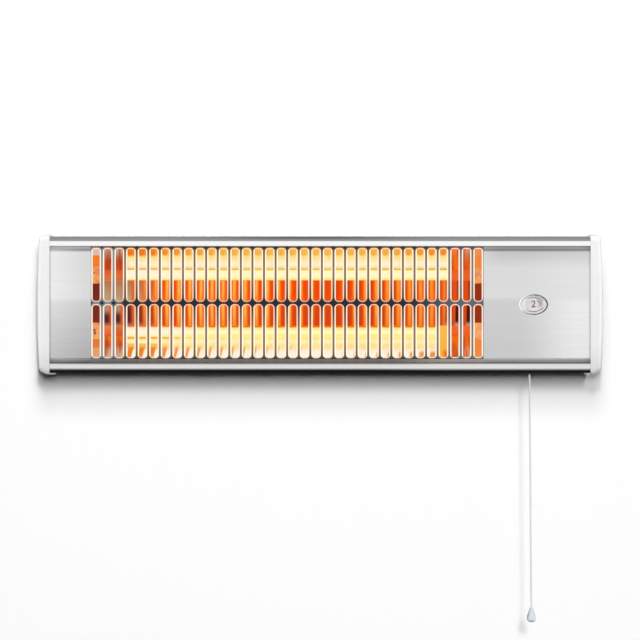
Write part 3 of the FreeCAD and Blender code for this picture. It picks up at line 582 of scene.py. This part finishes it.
def cover_metal(graph, x, z):
    """Grey of the bare metal: face, coves and rails, with the painted reflections and shades along them."""
    metal = face_reflection_grey(graph, x, z)
    metal = graph.mix(graph.between(z, *cove_band), metal, "f0f0f0")
    # Painted shade in the band under the upper rail
    hollow_shade = graph.product(graph.between(z, *hollow_band), graph.fade(x, *hollow_step, 0.36, 0.54))
    metal = graph.mix(hollow_shade, metal, black)
    lower_rail = graph.mix(graph.fade(z, *lip_step), "e2e2e2", "b4b4b4")
    rails = graph.mix(graph.fade(z, *half_step), lower_rail, "fdfdfd")
    metal = graph.mix(graph.fade(graph.size(z), *rail_step), metal, rails)
    cove_shade = graph.product(graph.between(z, *cove_shade_band), 0.46)
    rail_shade = graph.product(graph.between(z, *rail_shade_band), 0.22)
    shade = graph.product(graph.between(x, *below_grille_band), graph.larger(cove_shade, rail_shade))
    metal = graph.mix(shade, metal, black)
    # Painted darker middle to the upper edge
    crest_reach = graph.fade(graph.size(graph.minus(x, crest_centre)), *crest_reach_step)
    return graph.mix(graph.product(graph.fade(z, *crest_step), crest_reach, 0.50), metal, black)


def underside_shade(graph, x, y, z):
    """One on the painted shade along the lower edge, which starts a little lower on the right."""
    height = graph.total(z, graph.fade(x, *under_drop_step, 0.0, under_drop))
    return graph.product(graph.fade(height, *under_step), graph.fade(y, *under_depth_step))


def grille_bars(graph, x, along, distance, cool):
    """Painted reflection on the bars: tones of the glow, darkest between the rows and greyer where the tubes
    are cold.
    """
    right_side = graph.fade(x, *right_side_step)
    cool_tone = graph.mix(right_side, "a8aeb4", "80868c")
    near_slot = graph.larger(graph.fade(distance, *near_slot_step), right_side)
    return graph.mix(graph.product(cool, near_slot, 0.62), graph.ramp(along, bar_reflection_tones), cool_tone)


def rim_light(graph, z, across, along, cool):
    """Light of the tubes on the rims of the slots."""
    red_row = graph.fade(along, *red_rim_step)
    left_rim = graph.mix(red_row, "fff8cc", "ffe2b4")
    right_rim = graph.mix(red_row, "ffe6ac", "ffaa70")
    lit = graph.mix(graph.slope(across, *half_step), left_rim, right_rim)
    end_rim = graph.mix(graph.fade(z, *half_step), "fff0dc", "ffc88c")
    lit = graph.mix(graph.fade(along, *outer_rim_step), lit, end_rim)
    lit = graph.mix(graph.fade(along, *inner_rim_step), lit, "ffb080")
    return graph.mix(graph.product(cool, 0.6), lit, "f6eeea")


def cover_material():
    """Brushed aluminium with painted reflections on its face, rails and grille bars, the tubes' light painted
    as a glow on its slot rims, and a painted shade on its lower edge.
    """
    graph = Surface("brushed_aluminium")
    x, y, z = graph.coords()
    streaks = graph.noise((9.0, 1900.0, 1900.0), 5.0, 0.6)
    # Painted shade on the lower edge: dark, and without the metal's mirror
    under = underside_shade(graph, x, y, z)
    metal = graph.mix(under, cover_metal(graph, x, z), "161616")
    metal = graph.mix(graph.vary(streaks, 0.0, 0.05), metal, "808080")
    across, along = slot_place(graph, x, z)
    distance = slot_distance(graph, across, along)
    cool = graph.larger(graph.fade(x, *cool_left_step), graph.fade(x, *cool_right_step))
    grille = graph.product(
        graph.between(x, *grille_width_band),
        graph.between(z, *grille_height_band),
        graph.fade(y, *grille_depth_step))
    rim = graph.product(grille, graph.fade(distance, *rim_step))
    # Painted reflection on the grille bars, and the tubes' light painted as a glow on the slot rims
    metal = graph.mix(grille, metal, grille_bars(graph, x, along, distance, cool))
    metal = graph.mix(rim, metal, "bcb6b0")
    light = graph.mix(rim, black, rim_light(graph, z, across, along, cool))
    brushing = graph.slope(streaks, 0.2, 0.8, 0.19, 0.26)
    rough_cove = graph.product(graph.between(z, *rough_cove_band), 0.3)
    polish = graph.product(graph.fade(graph.size(z), *polish_step), -0.09)
    graph.set(Base_Color=metal, Metallic=graph.rest(under), Specular_IOR_Level=0.0)
    graph.set(Emission_Color=light, Emission_Strength=0.68)
    graph.set(Roughness=graph.total(brushing, rough_cove, polish), Normal=graph.bump(streaks, 0.03, 0.0003))
    return graph.material


def cap_material():
    """Glossy white moulded plastic, with painted shade that makes it a little greyer towards its foot."""
    graph = Surface("cap_plastic")
    x, y, z = graph.coords()
    grain = graph.noise(900.0, 2.0)
    plastic = graph.mix(graph.noise(30.0, 3.0), "e9e9e8", "ececeb")
    # Painted shade: a little greyer downwards and darker at the foot
    plastic = graph.mix(graph.slope(z, *cap_step, 0.0, 0.05), plastic, black)
    plastic = graph.mix(graph.fade(z, *cap_foot_step, 0.0, 0.18), plastic, black)
    graph.set(Base_Color=plastic, Specular_IOR_Level=0.5)
    graph.set(Roughness=graph.vary(grain, 0.24, 0.34), Normal=graph.bump(grain, 0.05, 0.0002))
    return graph.material


def hot_stretch(graph, x, z):
    """One along the hot part of both tubes."""
    above = graph.math("GREATER_THAN", z, grille_middle)
    upper = graph.product(above, graph.fade(x, glow_right_upper + glow_edge, glow_right_upper))
    lower = graph.product(graph.rest(above), graph.fade(x, glow_right_lower + glow_edge, glow_right_lower))
    return graph.product(graph.fade(x, glow_left, glow_left + glow_edge), graph.total(upper, lower))


def trough_feet(graph, seen, z):
    """Slanted stripes of painted light at the slots' lower ends, wider towards both ends of the grille."""
    slanted = graph.minus(seen, graph.product(graph.minus(z, foot_pivot), foot_slant))
    offset = aside(graph, slanted, foot_first, foot_pitch)
    wide = stripe(graph, graph.total(offset, foot_spread_shift), foot_spread, foot_edge)
    at_ends = graph.larger(graph.fade(seen, *foot_left_step), graph.fade(seen, *foot_right_step))
    foot = graph.larger(stripe(graph, offset, foot_width, foot_edge), graph.product(wide, at_ends))
    height = graph.total(z, graph.fade(seen, *foot_drop_step, 0.0, foot_drop))
    return graph.product(foot, graph.fade(height, *foot_height_step))


def trough_hot(graph, seen, z, in_slot):
    """Light above and below the red stretch along the hot part of the tubes."""
    away = graph.fade(graph.size(graph.minus(seen, away_centre)), *away_step)
    glint = graph.fade(spot(graph, (in_slot, z), glint_centre, glint_half), *glint_step)
    crown = graph.product(graph.fade(z, *crown_height_step), graph.fade(seen, *crown_step), 0.8)
    amber = graph.product(graph.between(z, *amber_band), graph.fade(seen, *amber_step), 0.8)
    dash = graph.product(graph.between(z, *dash_band), graph.fade(seen, *dash_step), 0.9)
    line = graph.product(graph.between(z, *line_band), away, 0.75)
    hot = graph.ramp(z, trough_hot_tones)
    hot = graph.mix(glint, hot, graph.mix(away, "f2b84c", "f08418"))
    hot = graph.mix(crown, hot, "f07414")
    hot = graph.mix(amber, hot, "f8b448")
    hot = graph.mix(trough_feet(graph, seen, z), hot, graph.mix(away, "e8b060", "ee8020"))
    hot = graph.mix(dash, hot, "f0ac3c")
    return graph.mix(line, hot, "e8901c")


def trough_cold(graph, x, seen, z):
    """Light above and below the red stretch along the cold ends of the tubes."""
    patch = graph.noise((260.0, 30.0, 35.0), 3.0)
    orange = graph.product(graph.fade(x, *right_part_step), graph.fade(x, *orange_step, 0.9, 0.55))
    corner = graph.product(graph.fade(seen, *corner_step), graph.fade(z, *corner_height_step))
    cold = graph.mix(orange, graph.ramp(z, trough_cold_tones), "f87018")
    cold = graph.mix(graph.fade(patch, 0.42, 0.64, 0.0, 0.7), cold, "a43c1c")
    return graph.mix(graph.between(x, *amber_slot_band), cold, graph.mix(corner, "fcb844", "ee6818"))


def streak_offset(graph, seen):
    """Signed distance from the nearest streak of the red stretch."""
    at_left = graph.product(graph.fade(seen, *left_bend_step), left_bend)
    at_right = graph.product(
        graph.fade(seen, *right_bend_step), graph.fade(seen, *right_bend_stop), right_bend)
    return aside(graph, graph.total(seen, at_left, at_right), streak_first, streak_pitch)


def streak_core(graph, seen, z, offset, upper_half):
    """Painted bright core of the streaks, stronger upwards in each half and fainter on the right."""
    upper = graph.product(upper_half, graph.slope(z, *core_upper_step, 0.3, 1.0))
    lower = graph.product(graph.rest(upper_half), graph.slope(z, *core_lower_step, 0.4, 1.0))
    return graph.product(
        stripe(graph, offset, core_width, core_edge),
        graph.total(upper, lower),
        graph.fade(seen, *core_right_step, 1.0, 0.4))


def dull_end(graph, seen, z, upper_half):
    """Tan and maroon of the painted glow where the red stretch is dull at the left."""
    tan = graph.mix(graph.slope(z, *tan_step), "b8a480", "b27c54")
    maroon = graph.mix(graph.fade(z, *maroon_step, 0.0, 0.7), "54242a", "c08a70")
    pale_top = graph.product(graph.fade(z, *pale_height_step), graph.fade(seen, *pale_step))
    return graph.mix(upper_half, graph.mix(pale_top, maroon, "b08c70"), tan)


def trough_red(graph, seen, z, in_slot):
    """Painted glow of the red stretch between the tubes, with bright streaks, dull ends and painted dark
    sides at the right.
    """
    upper_half = graph.fade(z, grille_middle - half_blur, grille_middle + half_blur)
    left_end = graph.fade(seen, *dull_left_step)
    right_end = graph.fade(seen, *dull_right_step)
    both_ends = graph.larger(left_end, right_end)
    offset = streak_offset(graph, seen)
    dull = dull_end(graph, seen, z, upper_half)
    shifted = graph.total(offset, graph.slope(upper_half, 0.0, 1.0, dark_side_shift, 0.0))
    dark_side = graph.product(right_end, graph.fade(shifted, *dark_side_step))
    beside_bar = graph.product(
        graph.fade(in_slot, *beside_bar_step), graph.between(seen, *beside_bar_band), 0.7)
    red = graph.mix(left_end, graph.mix(upper_half, "da4008", "f04806"), dull)
    red = graph.mix(beside_bar, red, "b43c14")
    red = graph.mix(graph.product(right_end, 0.6), red, "c84818")
    red = graph.mix(dark_side, red, graph.mix(upper_half, "4a1210", "8a3014"))
    streak = graph.product(
        stripe(graph, offset, streak_width, streak_edge),
        graph.rest(graph.product(dark_side, graph.rest(upper_half))),
        graph.fade(seen, *faint_streak_step, 1.0, 0.4))
    red = graph.mix(streak, red, graph.mix(both_ends, "fb7e18", "e25620"))
    red = graph.mix(graph.product(dark_side, graph.fade(z, *smear_step), 0.6), red, "dcccc4")
    core = graph.product(streak_core(graph, seen, z, offset, upper_half), graph.rest(both_ends))
    red = graph.mix(core, red, "ffc458")
    return graph.mix(graph.product(graph.fade(seen, *tan_end_step), upper_half, 0.85), red, dull)


def reflector_material():
    """Trough with the tubes' light and the mirrored grille painted into its glow, dark on its back."""
    graph = Surface("glowing_reflector")
    x, y, z = graph.coords()
    seen = graph.product(x, trough_sight)
    in_slot = aside(graph, seen, first_slot, slot_pitch)
    red_stretch = graph.between(z, *red_band)
    cold = trough_cold(graph, x, seen, z)
    glow = graph.mix(hot_stretch(graph, x, z), cold, trough_hot(graph, seen, z, in_slot))
    glow = graph.mix(red_stretch, glow, trough_red(graph, seen, z, in_slot))
    ends = graph.larger(graph.fade(seen, *trough_left_step), graph.fade(seen, *trough_right_step))
    right_tone = graph.mix(red_stretch, "f08c40", "983014")
    end_tone = graph.ramp(z, trough_end_tones)
    end_tone = graph.mix(graph.fade(x, *right_part_step, 0.0, 0.9), end_tone, right_tone)
    glow = graph.mix(ends, glow, end_tone)
    mottle = graph.noise((420.0, 40.0, 120.0), 3.0)
    glow = graph.mix(graph.slope(mottle, 0.40, 0.75, 0.0, 0.16), glow, "d07020", "MULTIPLY")
    to_wall = graph.split(graph.node("TexCoord").outputs["Normal"])[1]
    glow = graph.mix(graph.fade(to_wall, 0.2, 0.5), glow, black)
    graph.set(Base_Color="281c14", Metallic=1.0, Emission_Color=glow, Emission_Strength=1.0)
    graph.set(Roughness=graph.vary(mottle, 0.30, 0.40))
    return graph.material


def tube_ramp(graph, z, lower_tones, upper_tones):
    """Colour ramp over both tubes, from stops in tube radii."""
    stops = []
    for row, tones in ((lower_row, lower_tones), (upper_row, upper_tones)):
        stops += [(row + place * tube_radius, colour) for place, colour in tones]
    return graph.ramp(z, stops)


def tube_material():
    """Milky quartz, white hot along its middle, with painted light from the trough on its red edges and dull
    red ends.
    """
    graph = Surface("glowing_quartz")
    x, y, z = graph.coords()
    cloud = graph.noise((110.0, 60.0, 25.0), 3.0)
    pale_heights = graph.larger(graph.between(z, *pale_lower_band), graph.fade(z, *pale_upper_step))
    pale = graph.product(graph.fade(x, *pale_tube_step), pale_heights, 0.55)
    hot = graph.mix(pale, tube_ramp(graph, z, hot_lower_tones, hot_upper_tones), "fff0e4")
    cold = tube_ramp(graph, z, cold_lower_tones, cold_upper_tones)
    cold = graph.mix(graph.fade(cloud, 0.40, 0.66, 0.0, 0.5), cold, "b83c16")
    cold = graph.mix(graph.fade(x, *right_part_step, 0.0, 0.7), cold, "ec5814")
    cold = graph.mix(graph.between(x, *amber_slot_band), cold, "fcb440")
    graph.set(Base_Color="3a2a18", Specular_IOR_Level=0.1)
    graph.set(Emission_Color=graph.mix(hot_stretch(graph, x, z), cold, hot), Emission_Strength=0.98)
    graph.set(Roughness=graph.vary(cloud, 0.15, 0.35))
    return graph.material


def coil_material():
    """Resistance wire in its tube, hot."""
    graph = Surface("hot_coil")
    x, y, z = graph.coords()
    turns = graph.math("SINE", graph.product(x, coil_turns))
    glow = graph.mix(graph.slope(turns, -1.0, 1.0), "ff8a30", "ffd890")
    graph.set(Base_Color="8a7462", Metallic=1.0, Emission_Color=glow, Emission_Strength=1.0)
    graph.set(Roughness=0.4, Normal=graph.bump(turns, 0.5, 0.0003))
    return graph.material


def ceramic_material():
    """Unglazed ceramic with the tubes' light painted on as a glow, and dark spots in it."""
    graph = Surface("lit_ceramic")
    x, y, z = graph.coords()
    cloud = graph.noise((120.0, 120.0, 90.0), 4.0)
    grain = graph.noise(1500.0, 2.0)
    glow = graph.mix(graph.fade(cloud, 0.40, 0.60), "e07030", "f4a458")
    for spot_x, spot_z, size in ceramic_spots:
        distance = graph.root(spot(graph, (x, z), (spot_x, spot_z), (size, size)))
        glow = graph.mix(graph.fade(distance, 1.0, 0.5), glow, "2a1208")
    graph.set(Base_Color=graph.mix(grain, "5a4c3c", "6c5c4a"), Emission_Color=glow, Emission_Strength=0.85)
    graph.set(Roughness=graph.vary(grain, 0.55, 0.75), Normal=graph.bump(grain, 0.15, 0.0002))
    return graph.material


def coated_material(name, light, dark, rough):
    """Powder-coated sheet with a fine orange peel."""
    graph = Surface(name)
    peel = graph.noise(650.0, 3.0)
    graph.set(Base_Color=graph.mix(graph.noise(18.0, 3.0), dark, light))
    graph.set(Roughness=graph.vary(peel, rough - 0.06, rough + 0.06), Normal=graph.bump(peel, 0.12, 0.0002))
    return graph.material


def bare_metal(name, light, dark, rough):
    """Plain sheet or turned metal with faint rolling marks."""
    graph = Surface(name)
    marks = graph.noise((40.0, 600.0, 600.0), 5.0)
    graph.set(Base_Color=graph.mix(graph.noise(60.0, 3.0), dark, light), Metallic=1.0)
    graph.set(Roughness=graph.vary(marks, rough - 0.06, rough + 0.08), Normal=graph.bump(marks, 0.08, 0.0002))
    return graph.material


def plain_plastic(name, light, dark, rough):
    """Moulded plastic with a fine grain."""
    graph = Surface(name)
    grain = graph.noise(1200.0, 2.0)
    graph.set(Base_Color=graph.mix(graph.noise(70.0, 3.0), dark, light))
    graph.set(Roughness=graph.vary(grain, rough - 0.08, rough + 0.08), Normal=graph.bump(grain, 0.12, 0.0002))
    return graph.material


def bell_material():
    """Bluish white moulded plastic, with painted shade down its left side and round its foot."""
    graph = Surface("bell_plastic")
    x, y, z = graph.coords()
    low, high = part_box("cord_bell")
    grain = graph.noise(1200.0, 2.0)
    from_left = graph.minus(x, low.x)
    from_foot = graph.minus(z, low.z)
    from_top = graph.minus(z, high.z)
    taper = graph.slope(z, low.z + bell_taper_start, high.z + bell_taper_end, 0.0, bell_taper)
    left = graph.product(
        graph.fade(graph.minus(from_left, taper), *bell_side_step),
        graph.fade(from_top, *bell_top_step, 0.3, 0.9))
    shade = graph.larger(left, graph.fade(from_foot, *bell_foot_step))
    graph.set(Base_Color=graph.mix(shade, graph.mix(grain, "cfd2df", "d6d8e5"), "8f9298"))
    graph.set(Roughness=graph.vary(grain, 0.20, 0.34), Normal=graph.bump(grain, 0.08, 0.0002))
    return graph.material


def woven_material(name, light, dark, pitch):
    """Braided yarn on a thin round cord along Z or X."""
    graph = Surface(name)
    x, y, z = graph.coords()
    turn = 2 * math.pi / pitch
    run = graph.total(z, x)
    cross = graph.total(x, y)
    first = graph.math("SINE", graph.product(graph.total(run, cross), turn))
    second = graph.math("SINE", graph.product(graph.minus(run, cross), turn))
    braid = graph.product(first, second)
    fuzz = graph.noise(2500.0, 2.0)
    graph.set(Base_Color=graph.mix(graph.slope(braid, -1.0, 1.0), dark, light))
    graph.set(Roughness=graph.vary(fuzz, 0.7, 0.9), Normal=graph.bump(braid, 0.4, 0.0002))
    return graph.material


def lens_material():
    """Clear moulded oval, with a painted dark edge on its right, a painted white highlight on its left,
    painted shading at its ridge and inner ring, and a rosy middle.
    """
    graph = Surface("clear_lens")
    x, y, z = graph.coords()
    low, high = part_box("indicator_lens")
    centre = (low + high) / 2
    half = (high - low) / 2
    right = graph.product(graph.minus(x, centre.x), 1 / half.x)
    above = graph.product(graph.minus(z, centre.z), 1 / half.z)
    ring = graph.root(graph.total(graph.square(right), graph.square(above)))
    rim = graph.fade(ring, *lens_rim_step)
    edge = graph.ramp(graph.minus(right, graph.product(above, lens_edge_lean)), lens_edge_tones)
    ripple = graph.noise(220.0, 2.0)
    wave = graph.vary(graph.noise((330.0, 1.0, 330.0), 2.0), -lens_ridge_wave, lens_ridge_wave)
    ridge = graph.product(
        graph.between(graph.total(ring, wave), *lens_ridge_band),
        graph.fade(right, *lens_ridge_step),
        graph.fade(graph.size(above), *lens_ridge_end_step),
        0.75)
    hollow_shade = graph.product(
        graph.between(ring, *lens_hollow_band),
        graph.fade(right, *lens_hollow_step),
        graph.fade(above, *lens_hollow_height_step),
        0.7)
    glint = graph.product(graph.between(ring, *lens_glint_band), graph.fade(right, *lens_glint_step))
    glass = graph.mix(graph.fade(ring, *lens_rose_step), "eeefee", "f6eaee")
    glass = graph.mix(ridge, glass, "7c7e7c")
    glass = graph.mix(hollow_shade, glass, "8a8a8a")
    glass = graph.mix(glint, glass, white)
    glass = graph.mix(rim, glass, edge)
    graph.set(Base_Color=glass, Transmission_Weight=graph.rest(rim), IOR=1.49)
    graph.set(Roughness=graph.vary(ripple, 0.02, 0.08), Normal=graph.bump(ripple, 0.05, 0.0004))
    return graph.material


def see_through(graph, surface):
    """Surface that is clear from behind and to lamps."""
    back = graph.node("NewGeometry").outputs["Backfacing"]
    to_lamp = graph.node("LightPath").outputs["Is Shadow Ray"]
    blend = graph.node("MixShader")
    graph.put(blend.inputs[0], graph.larger(back, to_lamp))
    graph.put(blend.inputs[1], surface)
    graph.put(blend.inputs[2], graph.node("BsdfTransparent").outputs[0])
    graph.put(graph.output.inputs["Surface"], blend.outputs[0])


def wall_material():
    """White wall that takes the shadow and throws little light back."""
    graph = Surface("stage_wall")
    graph.tree.nodes.remove(graph.shader)
    bounced = graph.node("LightPath").outputs["Is Diffuse Ray"]
    diffuse = graph.node("BsdfDiffuse")
    graph.put(diffuse.inputs["Color"], graph.grey(graph.slope(bounced, 0.0, 1.0, wall_tone, wall_bounce)))
    see_through(graph, diffuse.outputs[0])
    return graph.material


def floor_material():
    """Pale floor with a faint cloud."""
    graph = Surface("stage_floor")
    graph.set(Base_Color=graph.mix(graph.noise(2.0, 2.0), "e4e4e3", "ebebea"), Roughness=0.8)
    see_through(graph, graph.shader.outputs[0])
    return graph.material


def dress():
    """Materials of the nodes that show as they are."""
    screw = bare_metal("zinc_screw", "c4c4c2", "a2a2a0", 0.34)
    chamber = bare_metal("bright_sheet", "b8b4ae", "96928c", 0.32)
    brass = bare_metal("plain_brass", "dcb460", "c09440", 0.30)
    quartz = tube_material()
    coil = coil_material()
    ceramic = ceramic_material()
    cap = cap_material()
    dark_nylon = plain_plastic("black_nylon", "262626", "1c1c1c", 0.5)
    nylon = plain_plastic("natural_nylon", "e2ded0", "d4d0c0", 0.5)
    switch = plain_plastic("switch_plastic", "303032", "222224", 0.5)
    sleeve = woven_material("glass_sleeve", "e0d8c4", "b8ae96", sleeve_braid_pitch)
    bracket = coated_material("bracket_coat", "dededc", "d4d4d2", 0.45)
    knob = plain_plastic("knob_plastic", "2c2c2c", "202020", 0.5)
    chosen = {
        "front_cover": cover_material(),
        "rear_panel": coated_material("panel_coat", "cfcfcd", "c6c6c4", 0.5),
        "reflector": reflector_material(),
        "neutral_link": brass,
        "terminal_screws": brass,
        "thermal_cutout": switch,
        "pull_switch": switch,
        "switch_bracket": chamber,
        "indicator_lens": lens_material(),
        "indicator_dial": plain_plastic("dial_plastic", "dcdada", "d4d2d2", 0.5),
        "pull_plunger": nylon,
        "terminal_block": nylon,
        "cord_grommet": dark_nylon,
        "cable_gland": dark_nylon,
        "gland_lock_nut": dark_nylon,
        "cord_head": woven_material("inner_cord", "dcdcdc", "b8b8b8", cord_braid_pitch),
        "cord_bell": bell_material(),
        "wall_bracket": bracket,
        "pivot_washers": plain_plastic("washer_rubber", "222222", "181818", 0.7),
    }
    for name in ("rear_panel_screws", "end_cap_screws", "pivot_screws"):
        chosen[name] = screw
    for side in ("left", "right"):
        chosen["end_cap_" + side] = cap
        chosen["tube_bracket_" + side] = chamber
        chosen["pivot_lug_" + side] = bracket
        chosen["tilt_knob_" + side] = knob
    for row in ("upper", "lower"):
        chosen["quartz_tube_" + row] = quartz
        chosen["heating_coil_" + row] = coil
        for side in ("left", "right"):
            chosen["ceramic_end_" + row + "_" + side] = ceramic
    for lead in ("upper", "lower", "feed", "live", "neutral"):
        chosen["lead_" + lead] = sleeve
    for name, material in chosen.items():
        mesh = nodes[name].data
        mesh.materials.clear()
        mesh.materials.append(material)
    nodes["indicator_lens"].visible_shadow = False


def link(item):
    """Object in the scene."""
    bpy.context.scene.collection.objects.link(item)
    return item


def pull_cord():
    """Free cord on one smooth curve, from the bush into its bell."""
    low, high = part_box("pull_cord")
    start = Vector((low.x + cord_diameter / 2, (low.y + high.y) / 2, high.z))
    curve = bpy.data.curves.new("pull_cord_line", "CURVE")
    curve.dimensions = "3D"
    spline = curve.splines.new("NURBS")
    spline.points.add(len(cord_route) - 1)
    for place, offset in zip(spline.points, cord_route):
        place.co = (*(start + Vector(offset)), 1.0)
    spline.order_u = cord_curve_order
    spline.use_endpoint_u = True
    spline.resolution_u = cord_curve_steps
    curve.bevel_depth = cord_diameter / 2
    curve.bevel_resolution = cord_round_steps
    curve.use_fill_caps = True
    curve.materials.append(woven_material("cord_braid", "eaeaea", "cbcbcb", cord_braid_pitch))
    cord = link(bpy.data.objects.new("pull_cord_line", curve))
    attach(cord, "cord")
    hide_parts("pull_cord")
    return cord


def dial_numerals():
    """Printed step numbers round the dial, with the top one behind the lens."""
    low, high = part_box("indicator_dial")
    centre = Vector(((low.x + high.x) / 2, low.y - numeral_lift, (low.z + high.z) / 2))
    ink = plain_plastic("numeral_ink", "40141e", "340e18", 0.5)
    for index, digit in enumerate(numerals):
        angle = 2 * math.pi * index / len(numerals)
        text = bpy.data.curves.new("numeral_" + digit, "FONT")
        text.body = digit
        text.size = numeral_size
        text.extrude = numeral_depth / 2
        text.offset = numeral_boldness
        text.align_x = "CENTER"
        text.align_y = "CENTER"
        text.materials.append(ink)
        piece = link(bpy.data.objects.new("numeral_" + digit, text))
        piece.location = centre + numeral_radius * Vector((math.sin(angle), 0.0, math.cos(angle)))
        piece.rotation_euler = (math.pi / 2, angle, 0.0)
        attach(piece, "dial")


def stage_sheet(name, corners, material):
    """Flat sheet of the stage, which mirrors don't show."""
    mesh = bpy.data.meshes.new(name)
    mesh.from_pydata(corners, [], [(0, 1, 2, 3)])
    mesh.materials.append(material)
    sheet = link(bpy.data.objects.new(name, mesh))
    sheet.visible_glossy = False


def stage():
    """White wall behind the heater and a pale floor below it."""
    left, right = -stage_half, stage_half
    front, back = -2 * stage_half, 2 * stage_half
    bottom, top = floor_height, stage_half
    wall = [
        (left, wall_gap, bottom), (right, wall_gap, bottom), (right, wall_gap, top), (left, wall_gap, top),
    ]
    floor = [(left, front, bottom), (right, front, bottom), (right, back, bottom), (left, back, bottom)]
    stage_sheet("stage_wall", wall, wall_material())
    stage_sheet("stage_floor", floor, floor_material())


def lamp(name, azimuth, elevation, level, size):
    """Soft lamp that lights a square-on white surface to a level, aimed at the heater."""
    data = bpy.data.lights.new(name, "AREA")
    data.shape = "RECTANGLE"
    data.size, data.size_y = size
    data.energy = level * math.pi ** 2 * lamp_distance ** 2
    data.use_nodes = True
    graph = Graph(data.node_tree)
    bounces = graph.node("LightPath").outputs["Diffuse Depth"]
    graph.put(graph.tree.nodes["Emission"].inputs["Strength"], graph.math("LESS_THAN", bounces, 0.5))
    turn = math.radians(azimuth)
    rise = math.radians(elevation)
    back = Vector((math.sin(turn) * math.cos(rise), -math.cos(turn) * math.cos(rise), math.sin(rise)))
    item = link(bpy.data.objects.new(name, data))
    item.location = back * lamp_distance
    item.rotation_euler = back.to_track_quat("Z", "Y").to_euler()
    item.visible_camera = False
    item.visible_glossy = False
    return item


def spare(item, pieces):
    """Lamp that the given pieces cast no shadow from."""
    spared = bpy.data.collections.new(item.name + "_spares")
    for piece in pieces:
        spared.objects.link(piece)
    for entry in spared.collection_objects:
        entry.light_linking.link_state = "EXCLUDE"
    item.light_linking.blocker_collection = spared


def light(cord):
    """All lamps, with the pieces that some of them cast no shadow of."""
    hanging = [cord, nodes["cord_bell"]]
    caps = [nodes["end_cap_left"], nodes["end_cap_right"]]
    for name, settings in lamps.items():
        item = lamp(name, *settings)
        if name in cord_sparing_lamps:
            spare(item, hanging)
        if name in cap_sparing_lamps:
            spare(item, caps)


def world():
    """White background, a studio that shades off above and below for mirrors, and a plain fill light."""
    studio = bpy.data.worlds.new("studio")
    studio.use_nodes = True
    bpy.context.scene.world = studio
    graph = Graph(studio.node_tree)
    path = graph.node("LightPath").outputs
    upward = graph.split(graph.node("TexCoord").outputs["Generated"])[2]
    sky = graph.ramp(upward, [(sine, (level, level, level, 1.0)) for sine, level in mirror_sky])
    smooth = graph.larger(path["Is Glossy Ray"], path["Is Transmission Ray"])
    mirrored = graph.math("GREATER_THAN", smooth, path["Diffuse Depth"])
    seen = graph.mix(mirrored, (fill_level, fill_level, fill_level, 1.0), sky)
    shown = graph.mix(path["Is Camera Ray"], seen, white)
    graph.put(graph.tree.nodes["Background"].inputs["Color"], shown)


def camera():
    """Long lens at the photograph's viewing angle."""
    data = bpy.data.cameras.new("camera")
    data.sensor_width = sensor_width
    data.lens = sensor_width * camera_distance / image_span
    data.clip_end = camera_reach
    item = link(bpy.data.objects.new("camera", data))
    item.location = (0.0, rail_front - camera_distance, camera_height)
    item.rotation_euler = (math.pi / 2, 0.0, 0.0)
    bpy.context.scene.camera = item


bpy.context.scene.view_settings.view_transform = "Standard"
camera()
hanging_cord = pull_cord()
dress()
dial_numerals()
stage()
world()
light(hanging_cord)
